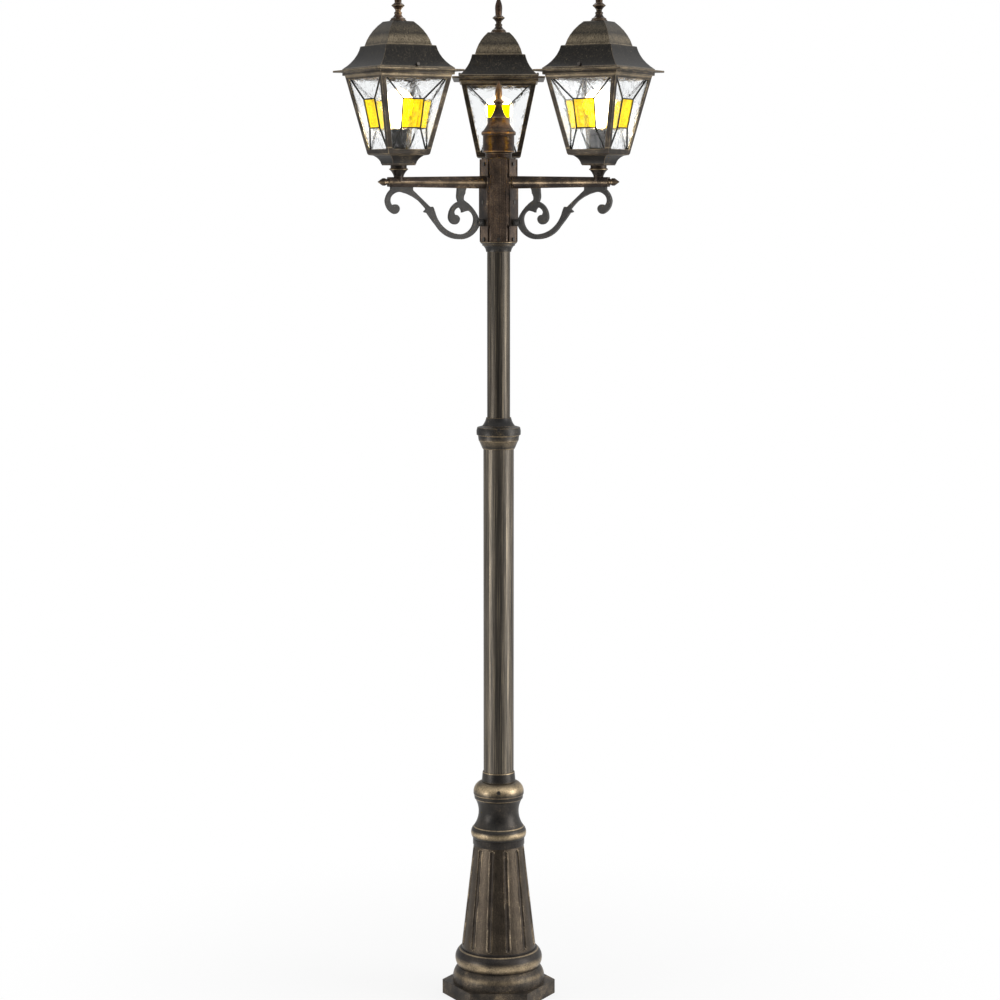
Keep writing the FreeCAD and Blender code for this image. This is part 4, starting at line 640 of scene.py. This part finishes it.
brass = plain("plain_brass", (0.62, 0.46, 0.20), 0.34, metal=1.0)
lantern_bronze = patina("lantern_bronze", (0.013, 0.012, 0.011), (0.034, 0.029, 0.024), GOLD,
                        0.15, rough=0.38)
stem_bronze = patina("stem_bronze", (0.018, 0.015, 0.013), (0.062, 0.045, 0.034), GOLD, 0.2,
                     bands=((1824.5, 1.6, 0.7),), rough=0.34)
for side in ARMS:
    stem = turned([
        (5.1, 0.0), (10.6, 0.0), (10.6, 1.5, -30.0), (18.5, 14.0), (20.0, 14.6), (20.0, 16.7),
        (18.8, 17.5), (17.2, 18.1), (17.2, STEM_HEIGHT), (5.1, STEM_HEIGHT),
    ], STEM_LEVEL, steps=64)
    lantern_piece(stem, side, "stem", "cast_body", [stem_bronze, edge_bronze], rounding=0.4)
    threaded = tube(3.7, 5.0, ARM_LEVEL, 66.0, steps=32)
    lantern_piece(threaded, side, "nipple", "tube_brass", [brass])
    bowl = squared([
        (5.1, 0.0), (26.5, 0.0), (26.5, 2.5), (27.5, 2.5, -50.0), (38.5, 19.5), (39.1, 20.3),
        (48.0, 22.1), (48.0, PAN_HEIGHT), (20.5, PAN_HEIGHT), (20.5, 6.0), (5.1, 6.0),
    ], STEM_LEVEL + STEM_HEIGHT)
    lantern_piece(bowl, side, "pan", "lantern_metal", [lantern_bronze, edge_bronze],
                  rounding=0.6, smooth=30.0)


# ---------------------------------------------------------------- cage
# Four leaning bars between two rails, with the wide brim above, cast in one of aluminium.
# The bars are slim and their outer corners are rubbed to bare bronze, made brighter still by a
# painted highlight. The bands round the brim are rubbed bronze with a painted highlight too.

cage_highlit_edge = patina("cage_highlit_edge", (0.075, 0.061, 0.046), (0.21, 0.168, 0.118),
                   (0.60, 0.47, 0.29), 0.85, rough=0.36)
cage_bronze = patina("cage_bronze", (0.018, 0.015, 0.012), (0.060, 0.047, 0.035),
                     (0.62, 0.48, 0.30), 0.45,
                     bands=((1869.0, 1.6, 0.6), (2020.0, 5.0, 0.6), (2031.5, 1.5, 0.7)),
                     cloud=0.6, rough=0.38)
for side in ARMS:
    piece(recast(f"{side}_cage"), f"{side}_cage", "post", "lantern_metal", [f"{side}_cage"],
          [cage_bronze, cage_highlit_edge], rounding=1.0)


# ---------------------------------------------------------------- glass
# Every pane is leaded: clear rippled glass in four pieces round an amber centre. The outer
# face of each piece is wavy and the inner one flat.

CAGE_LEVEL = STEM_LEVEL + STEM_HEIGHT + PAN_HEIGHT
PANE_OUT = 44.0
PANE_SLOPE = 0.2101
GLASS_THICK = 3.0
LEAD_HEART = 0.8
AMBER_FIT = 0.98
SWELL_SCALE = 80.0
RIPPLE_SCALE = 230.0
RIPPLE_SHARE = 0.35


def panel(foot, head, low, high):
    """Corners of a panel from half its width at the foot and head, and their two heights."""
    return [(-foot, low), (foot, low), (head, high), (-head, high)]


AMBER = panel(foot=22.5, head=24.5, low=54.5, high=114.5)
PANE = panel(foot=42.4, head=76.1, low=4.1, high=164.3)


def glass(name, colour, rough, waves, depth, painted_glow=0.0):
    """Clear or coloured glass with a rolled, wavy surface."""
    material = bpy.data.materials.new(name)
    add = shader_tools(material)
    spot = add("TexCoord").outputs["Object"]
    rolled = add("TexNoise", {"Vector": spot, "Scale": waves, "Detail": 3.0, "Roughness": 0.55,
                              "Distortion": 1.2})
    ridge = remap(add, rolled.outputs[0], 0.52, 0.74)
    relief = add("Bump", {"Strength": depth, "Distance": 0.004, "Height": ridge})
    # The glass's emission is a glow of its own: painted light.
    surface = add("BsdfPrincipled", {
        "Base Color": opaque(colour), "Roughness": rough, "IOR": 1.3,
        "Transmission Weight": 1.0, "Normal": relief.outputs[0],
        "Emission Color": (1.0, 0.70, 0.0, 1.0), "Emission Strength": painted_glow,
    })
    add("OutputMaterial", {"Surface": surface.outputs[0]})
    return material


def pane_spot(across, height, out=0.0):
    """A point on the middle plane of the pane towards local +X, in metres."""
    plane = PANE_OUT + PANE_SLOPE * height
    lean = math.hypot(1.0, PANE_SLOPE)
    return Vector((plane + out / lean, across,
                   CAGE_LEVEL + height - out * PANE_SLOPE / lean)) * MM


def glass_piece(corners, cuts=17, wave=0.15):
    """A glass quad between corners of (across, height), rippled on its outer face."""
    bm = bmesh.new()
    bm.faces.new([bm.verts.new(pane_spot(across, height, -GLASS_THICK / 2.0))
                  for across, height in corners])
    bmesh.ops.subdivide_edges(bm, edges=bm.edges, cuts=cuts, use_grid_fill=True)
    outward = pane_spot(0.0, 0.0, 1.0) - pane_spot(0.0, 0.0, 0.0)
    grown = bmesh.ops.extrude_face_region(bm, geom=list(bm.faces))
    outer = [item for item in grown["geom"] if isinstance(item, bmesh.types.BMVert)]
    bmesh.ops.translate(bm, vec=outward * GLASS_THICK, verts=outer)
    for vert in outer:
        swell = noise.noise(vert.co * SWELL_SCALE)
        ripple = RIPPLE_SHARE * noise.noise(vert.co * RIPPLE_SCALE)
        vert.co += outward * ((swell + ripple) * wave - wave)
    bmesh.ops.recalc_face_normals(bm, faces=bm.faces)
    return bm


def gather(parts, quarter=0):
    """One bmesh out of several, turned by quarters about the lantern's axis."""
    whole = bmesh.new()
    for part in parts:
        spare = bpy.data.meshes.new("spare")
        part.to_mesh(spare)
        part.free()
        whole.from_mesh(spare)
        bpy.data.meshes.remove(spare)
    bmesh.ops.transform(whole, matrix=Matrix.Rotation(math.radians(90.0 * quarter), 4, "Z"),
                        verts=whole.verts)
    return whole


def clear_quads():
    """The four clear pieces round the amber one, each as corners of (across, height)."""
    quads = []
    for index in range(4):
        after = (index + 1) % 4
        quad = [Vector(PANE[index]), Vector(PANE[after]), Vector(AMBER[after]),
                Vector(AMBER[index])]
        middle = sum(quad, Vector((0.0, 0.0))) / 4.0
        quads.append([tuple(corner + (middle - corner).normalized() * LEAD_HEART)
                      for corner in quad])
    return quads


clear_glass = glass("clear_glass", (0.98, 0.988, 0.992), 0.01, 75.0, 0.13)
# The amber glass glows a little of itself: painted light for the bulb shining through it.
amber_glass = glass("amber_glass", (1.0, 0.72, 0.0), 0.14, 90.0, 0.2, painted_glow=0.2)
amber_quad = [(across * AMBER_FIT, height) for across, height in AMBER]
for side in ARMS:
    clear = [gather([glass_piece(quad) for quad in clear_quads()], quarter)
             for quarter in range(4)]
    amber = [gather([glass_piece(amber_quad, cuts=11, wave=0.3)], quarter)
             for quarter in range(4)]
    lantern_piece(gather(clear), side, "clear_panes", "clear_glass", [clear_glass], smooth=50.0)
    lantern_piece(gather(amber), side, "amber_panes", "amber_glass", [amber_glass], smooth=50.0)


# ---------------------------------------------------------------- leadwork
# Lead strips hold the glass pieces together, with a drop of solder at each corner of the
# amber centre. The heart of each strip lies hidden between two pieces of glass.

LEAD_WIDTH = 2.6
LEAD_THICK = 5.0
LEAD_ROUNDING = 0.7
CORNER_REACH = 0.985
SOLDER_RADIUS = 2.3
lead_black = plain("lead_black", (0.012, 0.012, 0.011), 0.6, metal=0.2, grain=400.0)


def came(start, finish):
    """A rounded lead strip between two points of (across, height) on a pane."""
    ends = [pane_spot(*start), pane_spot(*finish)]
    along = ends[1] - ends[0]
    outward = (pane_spot(0.0, 0.0, 1.0) - pane_spot(0.0, 0.0, 0.0)).normalized()
    across = outward.cross(along.normalized())
    axes = Matrix((along.normalized(), across, outward)).transposed().to_4x4()
    bm = bmesh.new()
    bmesh.ops.create_cube(bm, size=1.0, matrix=Matrix.Diagonal(
        (along.length, LEAD_WIDTH * MM, LEAD_THICK * MM, 1.0)))
    bmesh.ops.bevel(bm, geom=list(bm.edges), offset=LEAD_ROUNDING * MM, offset_type="OFFSET",
                    segments=2, profile=0.5, affect="EDGES", material=-1)
    bmesh.ops.transform(bm, matrix=Matrix.Translation((ends[0] + ends[1]) / 2.0) @ axes,
                        verts=bm.verts)
    return bm


def solder(spot):
    """A drop of solder over a joint."""
    bm = bmesh.new()
    bmesh.ops.create_icosphere(bm, subdivisions=2, radius=SOLDER_RADIUS * MM)
    bmesh.ops.translate(bm, vec=pane_spot(*spot), verts=bm.verts)
    return bm


def lead_net():
    """The lead of one pane: round the amber centre, out to the pane's corners, and solder."""
    net = [came(AMBER[index], AMBER[(index + 1) % 4]) for index in range(4)]
    net += [came(near, (far[0] * CORNER_REACH, far[1])) for near, far in zip(AMBER, PANE)]
    net += [solder(corner) for corner in AMBER]
    return net


for side in ARMS:
    leads = gather([gather(lead_net(), quarter) for quarter in range(4)])
    lantern_piece(leads, side, "leadwork", "lead", [lead_black], smooth=40.0)


# ---------------------------------------------------------------- lampholders and bulbs
# A matt black ceramic lampholder stands on each cage's floor. The bulb is pear shaped, lit
# and warm, with a brass cap that screws down into the holder.

HOLDER_LEVEL = CAGE_LEVEL + 3.0
BULB_SEAT = 26.0
BULB_LEVEL = HOLDER_LEVEL + BULB_SEAT
holder_black = plain("holder_black", (0.008, 0.0075, 0.007), 0.6, gleam=0.1)
lit = bpy.data.materials.new("lit_bulb")
add = shader_tools(lit)
facing = add("LayerWeight", {"Blend": 0.35}).outputs["Facing"]
surface = add("BsdfPrincipled", {
    "Base Color": (1.0, 0.93, 0.80, 1.0), "Roughness": 0.25,
    "Emission Color": mix_colour(add, facing, (1.0, 0.90, 0.66, 1.0), (1.0, 0.66, 0.26, 1.0)),
    "Emission Strength": 9.0,
})
add("OutputMaterial", {"Surface": surface.outputs[0]})
for side in ARMS:
    holder = turned([
        (5.1, 0.0), (14.0, 0.0), (14.0, 4.0), (17.5, 5.0), (17.5, 41.0), (19.0, 42.0),
        (19.0, 49.0), (17.5, 50.0), (13.6, 50.0), (13.6, BULB_SEAT), (0.0, BULB_SEAT),
        (0.0, 12.0), (5.1, 12.0),
    ], HOLDER_LEVEL, steps=64)
    lantern_piece(holder, side, "lampholder", "holder_ceramic", [holder_black], rounding=0.5)
    cap = turned([
        (0.0, 0.0), (5.0, 0.0), (5.5, 1.5), (11.3, 5.0), (13.3, 6.0), (12.8, 8.0), (13.3, 10.0),
        (12.8, 12.0), (13.3, 14.0), (12.8, 16.0), (13.3, 18.0), (12.8, 20.0), (13.3, 22.0),
        (13.3, 26.0), (0.0, 26.0),
    ], BULB_LEVEL, steps=64)
    lantern_piece(cap, side, "bulb_cap", "tube_brass", [brass], body=f"{side}_lamp")
    globe = turned([
        (0.0, 26.0), (12.8, 26.0), (14.5, 27.5, -24.0), (25.98, 63.0, 120.0), (0.0, 108.0),
        (0.0, 107.0, -120.0), (25.11, 63.5, 24.0), (13.5, 28.5), (0.0, 28.5),
    ], BULB_LEVEL, steps=64)
    lantern_piece(globe, side, "bulb", "bulb_glass", [lit], body=f"{side}_lamp")


# ---------------------------------------------------------------- roofs
# Each cast roof lifts off the brim once its two thumb screws are loose: a flared skirt, a
# step and a convex dome, brushed with bronze down its faces, and a spire screwed on top.

ROOF_LEVEL = 2032.9
ROOF_HEIGHT = 101.0
ROOF_WALL = 4.0
SPIRE_BORE = 3.2
roof_bronze = patina("roof_bronze", (0.010, 0.0095, 0.009), (0.034, 0.030, 0.025),
                     (0.58, 0.47, 0.31), 0.25,
                     bands=((2095.0, 17.0, 0.50), (2118.0, 20.0, 0.16), (2084.5, 1.6, 0.9),
                            (2036.0, 3.0, 0.5)),
                     streak=0.75, rough=0.34, grit_share=0.55)


def roof_side(inset):
    """Half the roof's outline from its lip to its crown, moved inwards by a wall."""
    drop = inset / 2.0
    return outline([(88.0 - inset, -inset), (88.0 - inset, 3.0 - drop, -42.0),
                    (59.25 - inset, 50.0 - drop), (52.75 - inset, 51.0 - drop, 34.0),
                    (24.0 - inset, ROOF_HEIGHT - inset)])


for side in ARMS:
    inside = [(point.x, max(point.y, 0.0)) for point in reversed(roof_side(ROOF_WALL))]
    bore = [(SPIRE_BORE, ROOF_HEIGHT), (SPIRE_BORE, ROOF_HEIGHT - ROOF_WALL)]
    shell = squared(roof_side(0.0) + bore + inside, ROOF_LEVEL)
    lantern_piece(shell, side, "roof", "lantern_metal", [roof_bronze, rim_bronze],
                  body=f"{side}_cover", rounding=1.8, smooth=30.0)
    spire = turned([
        (0.0, -7.0), (3.0, -7.0), (3.0, 0.0), (17.5, 0.0), (17.5, 3.0), (15.5, 3.0),
        (15.5, 6.0), (13.5, 7.0, -40.0), (7.2, 15.0), (8.2, 15.8), (8.2, 19.2), (6.0, 20.0),
        (6.0, 24.0, -24.0), (13.8, 32.25), (13.8, 33.75), (7.2, 39.0),
    ] + bud(8.2, 55.4, 24.6), ROOF_LEVEL + ROOF_HEIGHT, steps=64)
    lantern_piece(spire, side, "roof_finial", "lantern_metal", [cap_bronze, edge_bronze],
                  body=f"{side}_cover", rounding=0.4)
    finish_node(f"{side}_roof_screws", black_steel)
